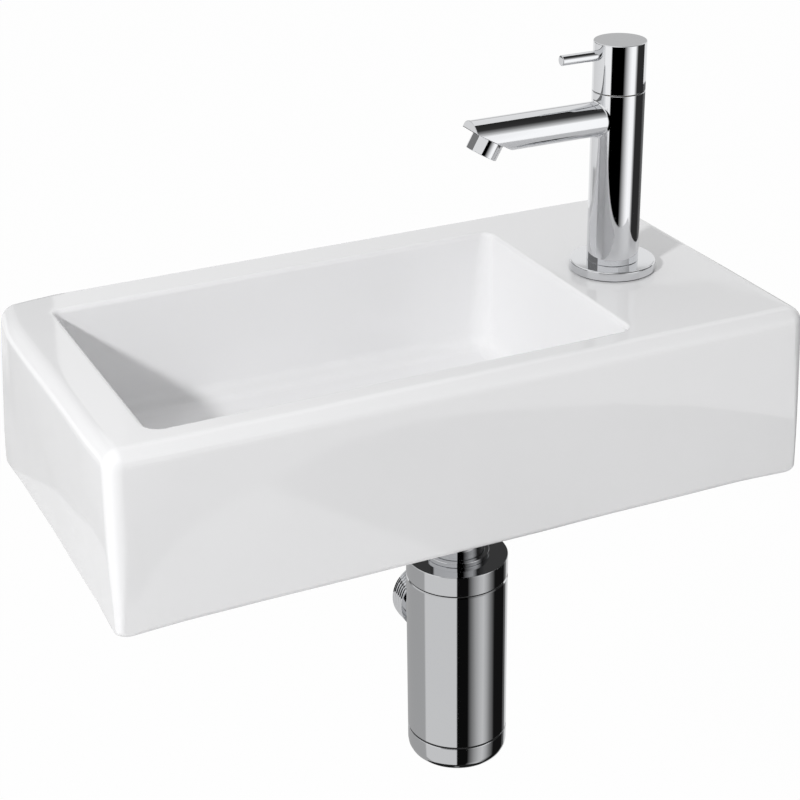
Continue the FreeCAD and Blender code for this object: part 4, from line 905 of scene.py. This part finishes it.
def flat_card(name, low, high, knots, strips):
    """A level card in strips, its glow given at places from front to back."""
    bm = bmesh.new()
    glow = bm.verts.layers.float.new("glow")
    bmesh.ops.create_grid(bm, x_segments=1, y_segments=strips, size=0.5)
    bmesh.ops.scale(bm, verts=bm.verts, vec=high - low + UP)
    bmesh.ops.translate(bm, verts=bm.verts, vec=(low + high) / 2)
    for vert in bm.verts:
        vert[glow] = staging().cards * between(knots, vert.co.y)
    add_card(name, bm)


def add_cards():
    """The cards that the metal and the glaze mirror."""
    for name, (start, stop, knots) in TAP_CARDS.items():
        round_card(name, foot_of("tap_body"), ((TAP_REACH, start), (TAP_REACH, stop)), knots)
    for name, (profile, knots) in TRAP_CARDS.items():
        round_card(name, foot_of("trap_body"), profile, knots)
    flat_card("ceiling_card", *CEILING_CORNERS, CEILING_GLOW, CEILING_STRIPS)


def add_camera():
    """The camera, where the photograph was taken from."""
    stage = staging()
    eye = bpy.data.cameras.new("camera")
    eye.lens = stage.lens
    eye.sensor_width = stage.sensor
    eye.clip_start = stage.nearest
    camera = bpy.data.objects.new("camera", eye)
    camera.location = (stage.camera_x, stage.camera_y, stage.camera_z)
    look = (Matrix.Rotation(-stage.yaw, 4, "Z") @ Matrix.Rotation(RIGHT_ANGLE - stage.pitch, 4, "X")
            @ Matrix.Rotation(stage.roll, 4, "Z"))
    camera.rotation_euler = look.to_euler()
    bpy.context.scene.collection.objects.link(camera)
    bpy.context.scene.camera = camera


class HANDBASIN_OT_stage(Operator):
    """Set the floor, the light, the cards that the metal mirrors, and the camera"""

    bl_idname = "hand_basin.stage"
    bl_label = "Stage"

    def execute(self, context):
        context.scene.view_settings.view_transform = "Standard"
        add_floor()
        add_world()
        add_key()
        add_cards()
        add_camera()
        return {"FINISHED"}


class HANDBASIN_PT_panel(Panel):
    """Lists the basin's pieces, sizes and colours"""

    bl_idname = "HANDBASIN_PT_panel"
    bl_label = "Hand Basin"
    bl_space_type = "VIEW_3D"
    bl_region_type = "UI"
    bl_category = "Hand Basin"

    def draw(self, context):
        layout = self.layout
        for operator in OPERATORS:
            layout.operator(operator.bl_idname)
        for group in (context.scene.hand_basin_sizes, context.scene.hand_basin_colours,
                      context.scene.hand_basin_stage):
            box = layout.box()
            for name in group.bl_rna.properties.keys():
                if name not in ("rna_type", "name"):
                    box.prop(group, name)


GROUPS = {
    "hand_basin_sizes": HandBasinSizes,
    "hand_basin_colours": HandBasinColours,
    "hand_basin_stage": HandBasinStage,
}
OPERATORS = (
    HANDBASIN_OT_basin,
    HANDBASIN_OT_tap_column,
    HANDBASIN_OT_spout,
    HANDBASIN_OT_trap,
    HANDBASIN_OT_outlet,
    HANDBASIN_OT_kept_nodes,
    HANDBASIN_OT_stage,
)
CLASSES = (*GROUPS.values(), *OPERATORS, HANDBASIN_PT_panel)


def register():
    for item in CLASSES:
        bpy.utils.register_class(item)
    for name, group in GROUPS.items():
        setattr(bpy.types.Scene, name, PointerProperty(type=group))


def unregister():
    for name in GROUPS:
        delattr(bpy.types.Scene, name)
    for item in reversed(CLASSES):
        bpy.utils.unregister_class(item)


def main():
    register()
    bpy.ops.hand_basin.basin()
    bpy.ops.hand_basin.tap_column()
    bpy.ops.hand_basin.spout()
    bpy.ops.hand_basin.trap()
    bpy.ops.hand_basin.outlet()
    bpy.ops.hand_basin.kept_nodes()
    bpy.ops.hand_basin.stage()


if __name__ == "__main__":
    main()
